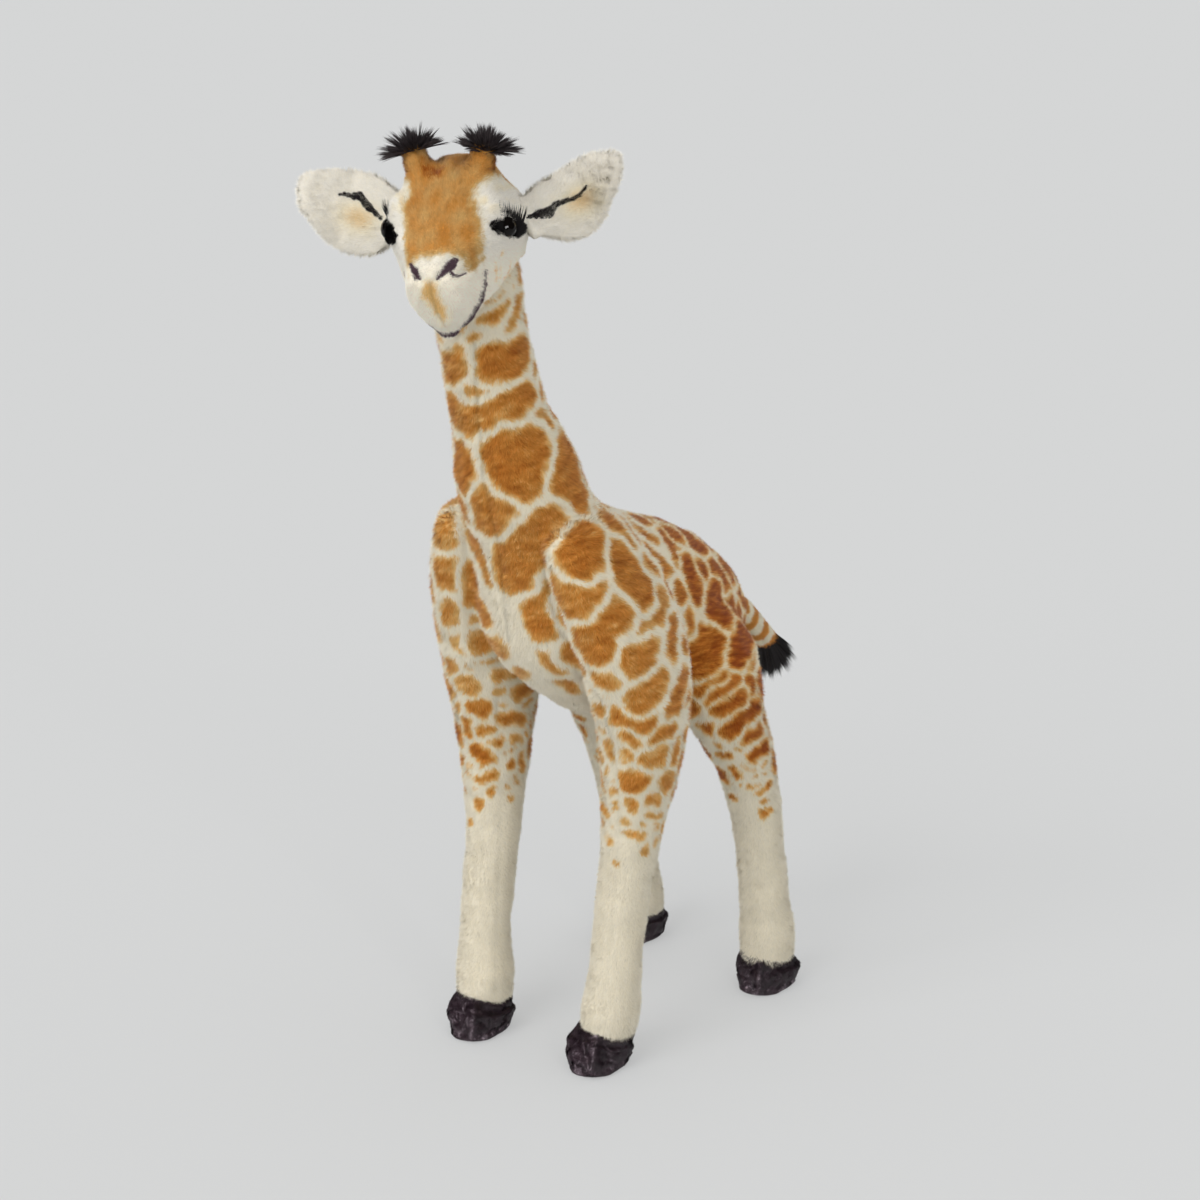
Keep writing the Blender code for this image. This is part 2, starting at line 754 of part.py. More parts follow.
def lash_mesh(side):
    """A fan of lashes over the outer upper part of an eye, as one thin flaring strip."""
    inner = EYE_RADIUS + PIVOT_GAP
    outer = inner + LASH_LENGTH
    profile = [
        (inner, 0),
        (outer, LASH_LENGTH),
        (outer + LASH_THICKNESS, LASH_LENGTH),
        (inner + LASH_THICKNESS * 2, 0),
    ]
    shape = bmesh.new()
    loops = []
    for step in range(LASH_STEPS + 1):
        turn = LASH_START + LASH_SWEEP * step / LASH_STEPS
        loops.append(
            [shape.verts.new((r * math.cos(turn), r * math.sin(turn), h)) for r, h in profile]
        )
    for one, other in zip(loops, loops[1:]):
        for at in range(4):
            after = (at + 1) % 4
            shape.faces.new((one[at], one[after], other[after], other[at]))
    shape.faces.new(loops[0])
    shape.faces.new(loops[-1])
    bmesh.ops.recalc_face_normals(shape, faces=shape.faces)
    mesh = bpy.data.meshes.new(f"lashes_{side}")
    shape.to_mesh(mesh)
    shape.free()
    return mesh


def ear_frame(skin, side):
    """The ear's hinge on the head: Z out along the ear, Y up along the hinge."""
    sign = SIDES[side]
    place = hit(skin, head_place(HEAD_MIDDLE_SHARE), head_aim(EAR_AIM, sign))
    raise_by = EAR_RAISE[side]
    sweep = EAR_SWEEP[side]
    out = Vector(
        (
            sign * math.cos(raise_by) * math.cos(sweep),
            math.cos(raise_by) * math.sin(sweep),
            math.sin(raise_by),
        )
    )
    hinge = Vector((0, math.sin(EAR_HINGE_TILT), math.cos(EAR_HINGE_TILT)))
    return facing(place, out, hinge)


def ear_mesh(side):
    """A broad cupped leaf with a rolled root edge that turns in its groove."""
    sign = SIDES[side]
    rings = [(Vector((0, 0, 0)), Vector((0, EAR_ROOT_WIDTH / 2, 0)), Vector((EAR_ROOT_RADIUS, 0, 0)))]
    for along, middle, wide, thick in EAR_SHARES:
        bow = EAR_CUP * math.sin(math.pi * along) ** EAR_CUP_POWER
        centre = Vector((sign * bow, middle * EAR_WIDTH, along * EAR_LENGTH))
        half = Vector((0, wide * EAR_WIDTH, 0))
        rings.append((centre, half, Vector((EAR_THICKNESS / 2 * thick, 0, 0))))
    tip = Vector((0, 0, EAR_LENGTH))
    leaf = rings[:1] + smooth_rings(rings[1:], 2) + dome_rings(rings[-1], tip, 3)
    root = []
    for step in range(EAR_ROOT_STEPS - 1, 0, -1):
        turn = math.pi / 2 * step / EAR_ROOT_STEPS
        root.append(
            (
                Vector((0, 0, -EAR_ROOT_RADIUS * math.sin(turn))),
                Vector((0, EAR_ROOT_WIDTH / 2 * math.cos(turn) ** EAR_ROOT_POWER, 0)),
                Vector((EAR_ROOT_RADIUS * math.cos(turn), 0, 0)),
            )
        )
    return form_mesh(
        f"ear_{side}", root + leaf, EAR_SIDES, Vector((0, 0, -EAR_ROOT_RADIUS)), tip
    )


def ear_groove():
    """The groove that an ear's rolled root turns in."""
    radius = EAR_ROOT_RADIUS + SEAM_GAP
    length = EAR_ROOT_WIDTH / 2 + SEAM_GAP
    rings = [
        (Vector((0, end * length, 0)), Vector((radius, 0, 0)), Vector((0, 0, radius)))
        for end in (-1, 1)
    ]
    return form_mesh("ear_groove", rings, GROOVE_SIDES)


def horn_frame(skin, side):
    """Where a horn stands on the skull."""
    place = hit(skin, head_place(HEAD_MIDDLE_SHARE), head_aim(HORN_AIM, SIDES[side]))
    up = Vector((SIDES[side] * math.sin(HORN_SPLAY), 0, math.cos(HORN_SPLAY)))
    return facing(place, up, Vector((0, -1, 0)))


def round_rings(outline):
    """Round rings about Z from (radius, height) pairs."""
    return [
        (Vector((0, 0, height)), Vector((0, radius, 0)), Vector((radius, 0, 0)))
        for radius, height in outline
    ]


def horn_mesh(side):
    """A stubby stuffed horn, which starts inside the skull's skin and is cut there."""
    outline = [(HORN_BASE_DIAMETER / 2 * HORN_ROOT_SHARE, -HORN_ROOT)]
    for along, narrowed in HORN_SHARES:
        diameter = HORN_BASE_DIAMETER + (HORN_TOP_DIAMETER - HORN_BASE_DIAMETER) * narrowed
        outline.append((diameter / 2, HORN_LENGTH * along))
    return form_mesh(f"horn_{side}", round_rings(outline), SMALL_SIDES)


def tuft_mesh(name, shares, start, length, diameter, dome):
    """A brush of long pile as one rounded form."""
    outline = [(radius * diameter / 2, start + along * length) for along, radius in shares]
    pole = Vector((0, 0, start + length * dome))
    rings = round_rings(outline)
    return form_mesh(name, rings + dome_rings(rings[-1], pole, 2), SMALL_SIDES, last_pole=pole)


# Tail


def tail_frame(skin):
    """The tail's root on the rump: Z out along the tail, X to the toy's left."""
    out = Vector((0, math.cos(TAIL_DROOP), math.sin(TAIL_DROOP)))
    lift = Vector((0, math.cos(TAIL_DROOP / 4), math.sin(TAIL_DROOP / 4)))
    place = hit(skin, torso_place(TAIL_ORIGIN_SHARE), lift)
    return facing(place, out, Vector((0, 0, 1)))


def tail_mesh():
    """A stuffed tail whose ball root turns in a cup in the rump."""
    radius = TAIL_ROOT_RADIUS
    outline = []
    for turn in TAIL_BALL_TURNS:
        outline.append((radius * math.cos(turn), radius * math.sin(turn)))
    for along, share in TAIL_SHARES:
        outline.append((radius * share, along * TAIL_LENGTH))
    outline[-1] = (TAIL_END_DIAMETER / 2, TAIL_LENGTH)
    return form_mesh("tail", round_rings(outline), SMALL_SIDES, first_pole=Vector((0, 0, -radius)))


# Assembly


def build_body(root, finishes):
    """Torso, legs, hooves and the wires in them."""
    skin = torso_mesh()
    torso = add_object("torso", skin, finishes["coat"], root)
    torso_cutter = grown("torso_cutter", skin, SEAM_GAP, root)
    for end in ("front", "hind"):
        for side in SIDES:
            wire = f"{end}_leg_wire_{side}"
            tube(wire, leg_wire_path(end, side, 0), WIRE_RADIUS, AHEAD, finishes["wire"], root)
            room = leg_wire_path(end, side, SEAM_GAP)
            bore = hidden(tube(f"{wire}_bore", room, WIRE_RADIUS + SEAM_GAP, AHEAD, None, root))
            leg = add_object(f"{end}_leg_{side}", leg_form(end, side), finishes["coat"], root)
            hoof = add_object(f"{end}_hoof_{side}", hoof_mesh(end, side), finishes["hoof"], root)
            boolean(leg, torso_cutter)
            for piece in (torso, leg, hoof):
                boolean(piece, bore)
    return torso, skin


def build_neck(root, torso, finishes):
    """The neck on its turning joint, and the spine and neck wires."""
    base, axis = neck_joint()
    joint = add_empty("neck_turn_joint", Matrix.Translation(base), root)
    to_joint = Matrix.Translation(-base)
    mesh = neck_mesh()
    mesh.transform(to_joint)
    neck = add_object("neck", mesh, finishes["coat"], joint)
    pivot_end, path = neck_wire_path()
    over = Vector((0, 0, 2 * WIRE_RADIUS + SEAM_GAP * 2))
    crossings = [leg_bar_middle(end) + over for end in ("front", "hind")]
    tail_end = torso_place(TORSO_SHARES[2][0]).lerp(torso_place(TORSO_SHARES[2][1]), 1 / 2)
    inside = base - axis * NECK_PIVOT_LENGTH
    spine = [inside, crossings[0], crossings[1], tail_end]
    bend = [Vector(point) for point in spline([list(point) for point in spine], 4)]
    spine_points = [pivot_end] + bend
    tube("spine_wire", spine_points, WIRE_RADIUS, ASIDE, finishes["wire"], root)
    past = (bend[-1] - bend[-2]).normalized() * PIVOT_GAP
    room = spine_points + [bend[-1] + past]
    boolean(torso, hidden(tube("spine_bore", room, WIRE_RADIUS + PIVOT_GAP, ASIDE, None, root)))
    way = (path[-1] - path[-2]).normalized()
    bend = [Vector(point) for point in spline([list(point) for point in path], 3)]
    start = pivot_end + axis * (PIVOT_GAP * 2)
    dome_top = path[-1] + way * (NECK_TOP_DIAMETER / 2)
    wire = [start] + bend[1:] + [dome_top - way * WIRE_RADIUS]
    wire = [point - base for point in wire]
    tube("neck_wire", wire, WIRE_RADIUS, ASIDE, finishes["wire"], joint)
    opening = [axis * -CUT_OVERRUN] + [point - base for point in bend]
    opening.append(dome_top + way * CUT_OVERRUN - base)
    bore = hidden(tube("neck_bore", opening, WIRE_RADIUS + PIVOT_GAP, ASIDE, None, joint))
    boolean(neck, bore)
    return joint, base


def build_eye(frame, skin, side, head, head_shells, finishes):
    """An eye, its washer, its felt rim and its lashes, and their room in the head."""
    place = eye_frame(skin, SIDES[side])
    holder = add_empty(f"eye_seat_{side}", place, frame)
    pocket = hidden(add_object(f"eye_pocket_{side}", eye_pocket(), None, holder))
    boolean(head, pocket)
    add_object(f"eye_{side}", eye_mesh(side), finishes["eye"], holder)
    add_object(f"eye_washer_{side}", washer_mesh(side), finishes["washer"], holder)
    rim = add_object(f"eye_rim_{side}", rim_mesh(side), finishes["felt"], holder)
    boolean(rim, head_shells["rim"], "INTERSECT")
    boolean(rim, head_shells["skin"])
    boolean(rim, pocket)
    lashes = add_object(f"lashes_{side}", lash_mesh(side), finishes["black"], holder)
    boolean(lashes, head_shells["lash"])


def build_ear(frame, skin, side, head, finishes):
    """An ear on its folding joint, and its groove in the head."""
    joint = add_empty(f"ear_{side}_joint", ear_frame(skin, side), frame)
    add_object(f"ear_{side}", ear_mesh(side), finishes["cream"], joint)
    groove = hidden(add_object(f"ear_groove_{side}", ear_groove(), None, joint))
    boolean(head, groove)


def build_horn(frame, skin, side, head_skin_cutter, finishes):
    """A horn cut by the skull, with its tuft on top."""
    seat = add_empty(f"horn_seat_{side}", horn_frame(skin, side), frame)
    horn = add_object(f"horn_{side}", horn_mesh(side), finishes["coat"], seat)
    boolean(horn, head_skin_cutter)
    tuft = tuft_mesh(
        f"horn_tuft_{side}",
        HORN_TUFT_SHARES,
        HORN_LENGTH + SEAM_GAP,
        HORN_TUFT_HEIGHT,
        HORN_TUFT_DIAMETER,
        1,
    )
    add_object(f"horn_tuft_{side}", tuft, finishes["black"], seat)


def build_head(neck_joint_empty, base, finishes):
    """The head on its nodding joint, and all that it carries."""
    placed = Matrix.Translation(-base) @ head_frame()
    frame = add_empty("head_nod_joint", placed, neck_joint_empty)
    skin = head_mesh()
    head = add_object("head", skin, finishes["coat"], frame)
    cup_turn = placed.to_3x3().inverted() @ neck_frame()[1]
    cup = hidden(add_object("nod_cup", nod_cup(), None, frame))
    cup.matrix_local = facing(Vector((0, 0, 0)), cup_turn, Vector((0, -1, 0)))
    boolean(head, cup)
    shells = {
        "skin": grown("head_skin_cutter", skin, SEAM_GAP, frame),
        "rim": grown("head_rim_cutter", skin, SEAM_GAP + EYE_RIM_THICKNESS, frame),
        "lash": grown("head_lash_cutter", skin, SEAM_GAP * 2 + EYE_RIM_THICKNESS, frame),
    }
    for side in SIDES:
        build_eye(frame, skin, side, head, shells, finishes)
        build_ear(frame, skin, side, head, finishes)
        build_horn(frame, skin, side, shells["skin"], finishes)


def tail_cup():
    """What the tail's ball root sweeps as it swings: a ball and the cone tangent to it."""
    return ball_cup("tail_cup", TAIL_ROOT_RADIUS + SEAM_GAP, TAIL_SWING_RANGE, TAIL_LENGTH)


def build_tail(root, torso, skin, finishes):
    """The tail on its swinging joint, its tuft, and its cup in the rump."""
    joint = add_empty("tail_swing_joint", tail_frame(skin), root)
    tail = add_object("tail", tail_mesh(), finishes["coat"], joint)
    start = Vector((0, 0, TAIL_LENGTH - TAIL_END_DIAMETER / 2))
    turn = Matrix.Rotation(TAIL_DROOP - TAIL_TUFT_DROOP, 4, "X")
    tuft_frame = add_empty("tail_tuft_seat", Matrix.Translation(start) @ turn, joint)
    tuft = tuft_mesh(
        "tail_tuft", TAIL_TUFT_SHARES, 0, TAIL_TUFT_LENGTH, TAIL_TUFT_DIAMETER, 1
    )
    brush = add_object("tail_tuft", tuft, finishes["black"], tuft_frame)
    boolean(brush, grown("tail_cutter", tail.data, SEAM_GAP, joint))
    cup = add_object("tail_cup", tail_cup(), None, joint)
    cup.rotation_euler.x = math.pi
    boolean(torso, hidden(cup))


def centre_on_floor(root):
    """Move the toy so that the origin is at the middle of its box, on the floor."""
    bpy.context.view_layer.update()
    graph = bpy.context.evaluated_depsgraph_get()
    corners = []
    for obj in bpy.context.scene.objects:
        if obj.type in {"MESH", "CURVE"} and not obj.hide_render:
            seen = obj.evaluated_get(graph)
            mesh = seen.to_mesh()
            corners.extend(seen.matrix_world @ vertex.co for vertex in mesh.vertices)
            seen.to_mesh_clear()
    for axis in (0, 1):
        values = [corner[axis] for corner in corners]
        root.location[axis] -= (min(values) + max(values)) / 2


def main():
    """Build the whole toy."""
    clear_scene()
    finishes = materials()
    root = add_empty("giraffe", Matrix(), None)
    torso, skin = build_body(root, finishes)
    neck_empty, base = build_neck(root, torso, finishes)
    build_head(neck_empty, base, finishes)
    build_tail(root, torso, skin, finishes)
    centre_on_floor(root)


main()
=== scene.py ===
"""Dresses the plush giraffe calf: fur skins, pile, face, hooves, stage and camera."""

import math

import bmesh
import bpy
import numpy as np
from bpy.props import FloatProperty, FloatVectorProperty, PointerProperty
from mathutils import Matrix, Vector
from mathutils.bvhtree import BVHTree


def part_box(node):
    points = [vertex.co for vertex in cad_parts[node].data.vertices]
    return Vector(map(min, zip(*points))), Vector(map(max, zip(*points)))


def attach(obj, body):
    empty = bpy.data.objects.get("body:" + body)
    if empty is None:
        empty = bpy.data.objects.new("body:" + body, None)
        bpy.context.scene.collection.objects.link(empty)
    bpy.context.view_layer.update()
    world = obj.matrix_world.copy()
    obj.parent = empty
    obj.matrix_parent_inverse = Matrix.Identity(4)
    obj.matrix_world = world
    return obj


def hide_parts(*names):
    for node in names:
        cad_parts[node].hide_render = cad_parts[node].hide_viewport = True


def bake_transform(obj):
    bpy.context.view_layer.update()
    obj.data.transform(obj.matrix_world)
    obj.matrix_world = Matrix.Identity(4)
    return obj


bl_info = {
    "name": "Plush giraffe coat",
    "version": (1, 0, 0),
    "blender": (4, 5, 0),
    "location": "View3D > Sidebar > Giraffe",
    "description": "Dresses the giraffe's solids in plush and sets the studio",
    "category": "Object",
}

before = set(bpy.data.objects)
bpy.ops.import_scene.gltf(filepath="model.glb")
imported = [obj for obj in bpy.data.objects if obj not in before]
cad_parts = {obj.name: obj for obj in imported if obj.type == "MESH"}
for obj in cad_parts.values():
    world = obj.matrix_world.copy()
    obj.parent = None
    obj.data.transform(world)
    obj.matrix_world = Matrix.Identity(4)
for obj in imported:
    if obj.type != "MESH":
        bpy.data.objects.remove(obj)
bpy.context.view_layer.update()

# Places are in the toy's frame: tables of points in millimetres, and vectors, seats and spots in metres.
MM = 0.001
SIDES = ("left", "right")

# Coat patches on the seen side: reach of the patch round its points, then the points.
PATCHES = (
    (8, 50, -215, 1040, 49, -228, 1028, 46, -239, 1016), (7, 50, -240, 1034, 48, -252, 1020),
    (13, 41, -221, 1036, 42, -220, 1018), (9, 36, -280, 994, 43, -271, 1003, 49, -258, 1016),
    (13, 38, -276, 981, 46, -264, 985, 50, -252, 991),
    (13, 46, -225, 997, 50, -237, 982, 50, -246, 966), (14, 26, -282, 956), (9, -22, -284, 949),
    (19, -13, -283, 925, -23, -275, 909, 9, -284, 928),
    (26, 38, -267, 928, 49, -250, 929, 52, -232, 935),
    (10, 11, -275, 893, 21, -272, 894, 30, -268, 898),
    (24, -21, -266, 864, 1, -268, 851, 29, -260, 858, 45, -247, 865, 53, -230, 886),
    (17, 56, -196, 853, 59, -184, 833), (26, -19, -255, 804, -27, -247, 777),
    (36, 41, -243, 813, 57, -222, 816, 52, -230, 786),
    (29, 66, -163, 804, 72, -183, 780, 74, -153, 755),
    (25, 5, -246, 752, 3, -239, 728, 29, -239, 747), (9, 51, -94, 734),
    (16, 87, -127, 728, 113, -132, 718, 120, -112, 694), (14, 42, -211, 969), (14, 47, -202, 909),
    (31, 67, -197, 729, 47, -209, 698, 21, -211, 658),
    (14, -72, -198, 718, -61, -200, 700, -36, -210, 679, -16, -209, 647),
    (20, -86, -216, 710, -88, -218, 682), (21, -89, -211, 650, -94, -203, 626),
    (19, -73, -193, 643, -76, -175, 602, -45, -189, 583), (15, -101, -195, 597, -103, -185, 571),
    (33, 113, -188, 711, 119, -195, 685), (27, 131, -145, 680, 140, -133, 655, 146, -119, 637),
    (26, 104, -212, 653, 127, -192, 654, 113, -204, 631),
    (25, 146, -157, 621, 135, -182, 605, 117, -193, 591, 128, -183, 573),
    (18, 145, -78, 620, 155, -100, 605, 157, -126, 597),
    (18, 48, -198, 653, 40, -197, 622, 48, -186, 580), (12, 47, -177, 551, 51, -155, 529),
    (9, 37, -142, 506, 44, -119, 493), (21, 161, -124, 570, 154, -152, 554, 162, -127, 546),
    (17, 154, -64, 583, 164, -82, 556), (16, 125, -174, 537, 140, -168, 539),
    (23, 166, -117, 526, 159, -138, 505), (16, 163, -55, 523, 170, -72, 505, 170, -87, 486),
    (6, 127, -165, 509, 138, -161, 509), (15, 140, -154, 487, 153, -139, 479, 162, -126, 473),
    (11, -106, -175, 541, -97, -168, 531), (20, -83, -154, 538, -29, -184, 551),
    (8, -88, -149, 511, -80, -135, 505, -74, -116, 503), (6, -103, -162, 506, -98, -158, 499),
    (10, -79, -126, 487, -72, -105, 490, -3, -166, 517), (13, -111, -158, 480, -103, -152, 470),
    (8, -81, -126, 467, -79, -119, 465), (13, -74, -97, 456, -74, -75, 456),
    (15, -100, -145, 443, -95, -138, 439), (5, -82, -122, 445, -77, -108, 443),
    (10, -83, -121, 425, -77, -104, 423, -75, -82, 414), (9, -75, -73, 437), (8, -76, -75, 394),
    (10, -116, -146, 422, -114, -144, 405), (10, -98, -138, 414, -90, -130, 415),
    (8, -78, -105, 393, -76, -90, 392), (6, -80, -110, 379, -76, -101, 379),
    (14, -104, -139, 382, -96, -134, 374), (8, -76, -83, 366, -77, -85, 351),
    (6, -120, -140, 361, -119, -140, 351), (9, -103, -137, 344, -91, -129, 350),
    (6, -77, -100, 348, -77, -96, 337), (5, -78, -110, 334), (8, -92, -131, 327),
    (4, -111, -139, 328), (7, -105, -139, 310), (5, -76, -106, 317), (5, -119, -140, 282),
    (12, -125, -165, 498), (10, -130, -149, 442), (5, -118, -143, 389),
    (5, 102, -147, 463, 115, -150, 456), (10, 116, -147, 441, 119, -145, 429),
    (5, 109, -139, 408, 107, -135, 388), (11, 143, -145, 457, 152, -132, 447),
    (14, 164, -114, 453, 170, -92, 460), (9, 137, -142, 434, 142, -138, 427),
    (15, 158, -117, 421, 164, -104, 425), (11, 167, -75, 427, 165, -76, 412),
    (14, 140, -133, 398, 140, -130, 388, 152, -121, 401), (12, 162, -87, 395, 159, -81, 379),
    (10, 134, -131, 364, 140, -125, 358), (9, 152, -110, 365, 156, -93, 364),
    (8, 151, -104, 346, 152, -91, 339), (6, 132, -129, 339), (6, 145, -112, 333),
    (6, 150, -95, 328, 149, -95, 320), (8, 137, -121, 321, 143, -114, 317), (6, 147, -88, 304),
    (7, 145, -105, 298), (6, 148, -79, 324, 142, -72, 305), (6, 148, -67, 346),
    (6, 14, 1, 691, 30, 1, 687), (8, 1, 72, 670, 29, 52, 670),
    (10, 49, -15, 683, 57, 0, 671, 64, 11, 659), (14, 53, 47, 658, 68, 48, 642, 79, 49, 625),
    (16, 30, 120, 643, 49, 112, 636, 52, 130, 622), (11, 73, -13, 659, 80, 3, 641, 90, 13, 619),
    (10, 129, -85, 665, 133, -68, 641), (19, 82, 60, 615, 91, 63, 592),
    (17, 66, 134, 603, 69, 159, 575), (26, 88, 113, 564, 95, 113, 549),
    (12, 56, 207, 543, 25, 265, 507), (9, 99, 36, 570, 100, 40, 551, 100, 44, 531),
    (8, 99, 4, 593, 132, -31, 592), (23, 116, 76, 523, 119, 43, 502),
    (22, 113, 142, 518, 131, 99, 505), (10, 131, 135, 492, 140, 119, 480),
    (14, 134, 65, 486, 121, 38, 470), (12, 143, 84, 471, 138, 64, 463, 128, 48, 455),
    (13, 144, 117, 465, 147, 119, 447), (14, 147, 92, 449, 139, 64, 436),
    (16, 149, 124, 429, 149, 94, 420, 143, 79, 407), (12, 150, 101, 392, 153, 126, 393),
    (13, 152, 116, 365, 154, 138, 371), (6, 123, 72, 385), (8, 119, 84, 366, 132, 87, 366),
    (6, 144, 94, 375, 149, 102, 378), (9, 127, 102, 340, 131, 106, 334),
    (6, 146, 109, 351, 149, 116, 346), (8, 155, 137, 349), (5, 149, 120, 334),
    (6, 143, 122, 317, 149, 129, 315), (8, 151, 137, 307, 155, 143, 315), (5, 110, 115, 311),
    (7, 115, 122, 294), (7, 152, 146, 289), (7, 152, 149, 278, 148, 145, 272), (5, 133, 113, 320),
    (4, 163, -45, 467), (5, 155, 138, 331),
)

# Seams of the coat, as lines of points.
BODY_SEAMS = (
    (
        (26, -282, 950), (22, -275, 907), (16, -267, 857), (14, -259, 820), (11, -253, 784),
        (13, -246, 756), (9, -231, 715), (5, -216, 674), (1, -208, 634), (-4, -192, 564),
    ),
    (
        (-83, -126, 454), (-84, -122, 370), (-82, -124, 289), (-78, -132, 208), (-74, -142, 128),
        (-68, -154, 63),
    ),
    (
        (58, -196, 679), (58, -187, 627), (65, -173, 580), (92, -160, 540), (119, -166, 506),
        (124, -150, 451), (125, -138, 396), (123, -132, 341), (120, -131, 286), (116, -138, 206),
        (115, -147, 127), (109, -154, 61),
    ),
    ((122, 68, 391), (122, 115, 308), (119, 144, 214), (123, 158, 123), (127, 164, 67)),
    ((-122, 88, 391), (-122, 135, 308), (-119, 164, 214), (-123, 178, 123), (-127, 184, 67)),
    ((0, -100, 1000), (0, -110, 900), (0, -110, 820), (0, -60, 790), (0, 60, 740), (0, 200, 640)),
)

# Joints: the neck's turning seam, the nod centre and the head's own axes.
NECK_SEAM = Vector((0, -0.173524, 0.764975))
NECK_AXIS = Vector((0, -0.422618, 0.906308))


def joint_frame(side, up, place):
    """A frame from two of its axes and its place."""
    x = Vector(side).normalized()
    z = Vector(up)
    z = (z - x * z.dot(x)).normalized()
    y = z.cross(x)
    turn = Matrix((x, y, z)).transposed().to_4x4()
    return Matrix.Translation(Vector(place)) @ turn


HEAD = joint_frame((0.925913, 0.374093, 0.052336), (-0.048526, -0.019606, 0.998630), (0, -0.248677, 1.025346))

# Face colours, in the head's frame as (to the left, up) in millimetres.
MASK = (
    (-70, 170), (70, 170), (66, 124), (50, 118), (40, 110), (40, 102), (45, 92), (50, 78), (53, 66),
    (54, 54), (53, 42), (50, 33), (47, 27), (42, 20), (37, 24), (34, 33), (31, 41), (20, 44), (10, 43),
    (1, 42), (-10, 41), (-18, 38), (-23, 31), (-26, 24), (-30, 28), (-34, 36), (-37, 52), (-37, 68),
    (-42, 79), (-47, 88), (-48, 98), (-42, 106), (-45, 114), (-60, 122),
)
NOSE_STRIPE = (
    (-8, 15), (4, 17), (10, 10), (9, -2), (15, -20), (12, -32), (4, -39), (0, -29), (-6, -14), (-12, -5),
    (-11, 5),
)
# Strokes are (across, up, half width).
NOSTRILS = (
    ((26, 37, 3.0), (22, 31, 5.2), (16, 25, 3.6), (10, 19, 1.4)),
    ((22, 26, 1.6), (25, 21, 1.2), (29, 18.5, 1.0), (33, 21, 0.8)),
    ((-22, 33, 2.2), (-17, 27, 4.4), (-11, 20, 2.0)),
    ((-20, 21, 0.8), (-16, 18, 1.1), (-11, 18, 1.2)),
)
MOUTH = (
    (47, 20, 0.8), (44, 4, 1.0), (38, -13, 1.2), (30, -28, 1.4), (22, -39, 1.8), (14, -47, 2.1),
    (5, -51, 2.1), (-5, -51, 2.1), (-15, -46, 2.0),
)
PHILTRUM = ((2, 14, 0.5), (0, 0, 0.6), (1, -22, 0.7), (5, -40, 0.5))
# Cheek strokes are (half width, tone, then two places to the left, forward, up).
CHEEK_STROKES = (
    (2.6, 0.50, (61, 82, 39), (61, 81, 34)), (1.5, 0.74, (56, 89, 27), (52, 82, 5)),
    (2.2, 0.50, (57, 78, 20), (52, 74, 0)), (3.0, 0.52, (60, 53, 22), (55, 58, 2)),
    (1.6, 0.66, (60, 30, 21), (55, 64, 6)),
)
# Horns: each one's seat and axis, and the middle of the rust patch.
HORN_SEATS = {
    "left": ((0.0525, -0.2958, 1.1539), (0.177, 0.071, 0.982)),
    "right": ((-0.0174, -0.3241, 1.15), (-0.271, -0.11, 0.956)),
}
HORN_SPOT = (0.011, -0.333, 1.166)
TAIL_ROOT = np.array((0.0, 0.274, 0.5078))
TAIL_WAY = np.array((0.0, 0.755, -0.656))
TUFT_SEAT = np.array((0.0, 0.3563, 0.4363))
TUFT_WAY = np.array((0.0, 0.56, -0.83))
# Eyes: each one's place and the way it faces.
EYES = {
    "left": ((0.0951, -0.3006, 1.0951), (0.935, -0.19, 0.301)),
    "right": ((-0.0388, -0.3547, 1.0876), (-0.566, -0.796, 0.216)),
}
# The jaw line: (forward, up) outline of what is taken off under the cheeks.
JAW = (
    (-110, 6), (-56, 10), (-22, 19), (8, 21), (31, 16), (49, 8), (63, 1), (77, -9), (87, -18), (93, -32),
    (96, -60), (96, -160), (-110, -160),
)
# How much slimmer the head's sides are than its solid: (up, slimmer).
SLIM = (
    (-60, 0), (-40, 1), (-20, 5), (0, 9), (15, 11), (30, 12), (42, 8.5), (54, 2), (60, 0), (90, 1),
    (100, 5), (110, 9), (120, 8), (135, 2),
)


# Colour tools


def linear(red, green, blue):
    """A colour from screen values of 0 to 255."""
    found = []
    for value in (red, green, blue):
        share = value / 255
        found.append(share / 12.92 if share <= 0.04045 else ((share + 0.055) / 1.055) ** 2.4)
    return (*found, 1.0)


def colour_setting(name, description, default):
    """A colour that the add-on's panel shows."""
    return FloatVectorProperty(name=name, description=description, subtype="COLOR", size=4, default=default)


def length_setting(name, description, default):
    """A length that the add-on's panel shows."""
    return FloatProperty(name=name, description=description, unit="LENGTH", default=default)


class CoatSettings(bpy.types.PropertyGroup):
    """Sizes and colours of the printed plush."""

    white: colour_setting("White", "Face plush", linear(247, 243, 234))
    cream: colour_setting("Cream", "Plain plush", linear(246, 236, 210))
    edge: colour_setting("Edge", "Rim of a patch", linear(236, 196, 126))
    golden: colour_setting("Golden", "Light patches", linear(219, 150, 68))
    brown: colour_setting("Brown", "Deep patches", linear(196, 116, 40))
    rust: colour_setting("Rust", "Patches of the rear", linear(160, 74, 12))
    black: colour_setting("Black", "Long dark pile", linear(30, 26, 27))
    charcoal: colour_setting("Charcoal", "Horn brushes", linear(56, 50, 51))
    plum: colour_setting("Plum", "Nose and mouth pile", linear(92, 70, 80))
    pile_length: length_setting("Pile length", "Length of the body plush", 0.0085)
    pile_width: length_setting("Pile width", "Width of one lock of pile", 0.0009)
    locks: FloatProperty(
        name="Locks", description="Locks of pile on a square centimetre", default=90.0, min=1.0
    )
    gap: length_setting("Gap", "Plain line between two patches", 0.0095)
    skin_cell: length_setting("Skin cell", "Mesh size of the skins", 0.005)


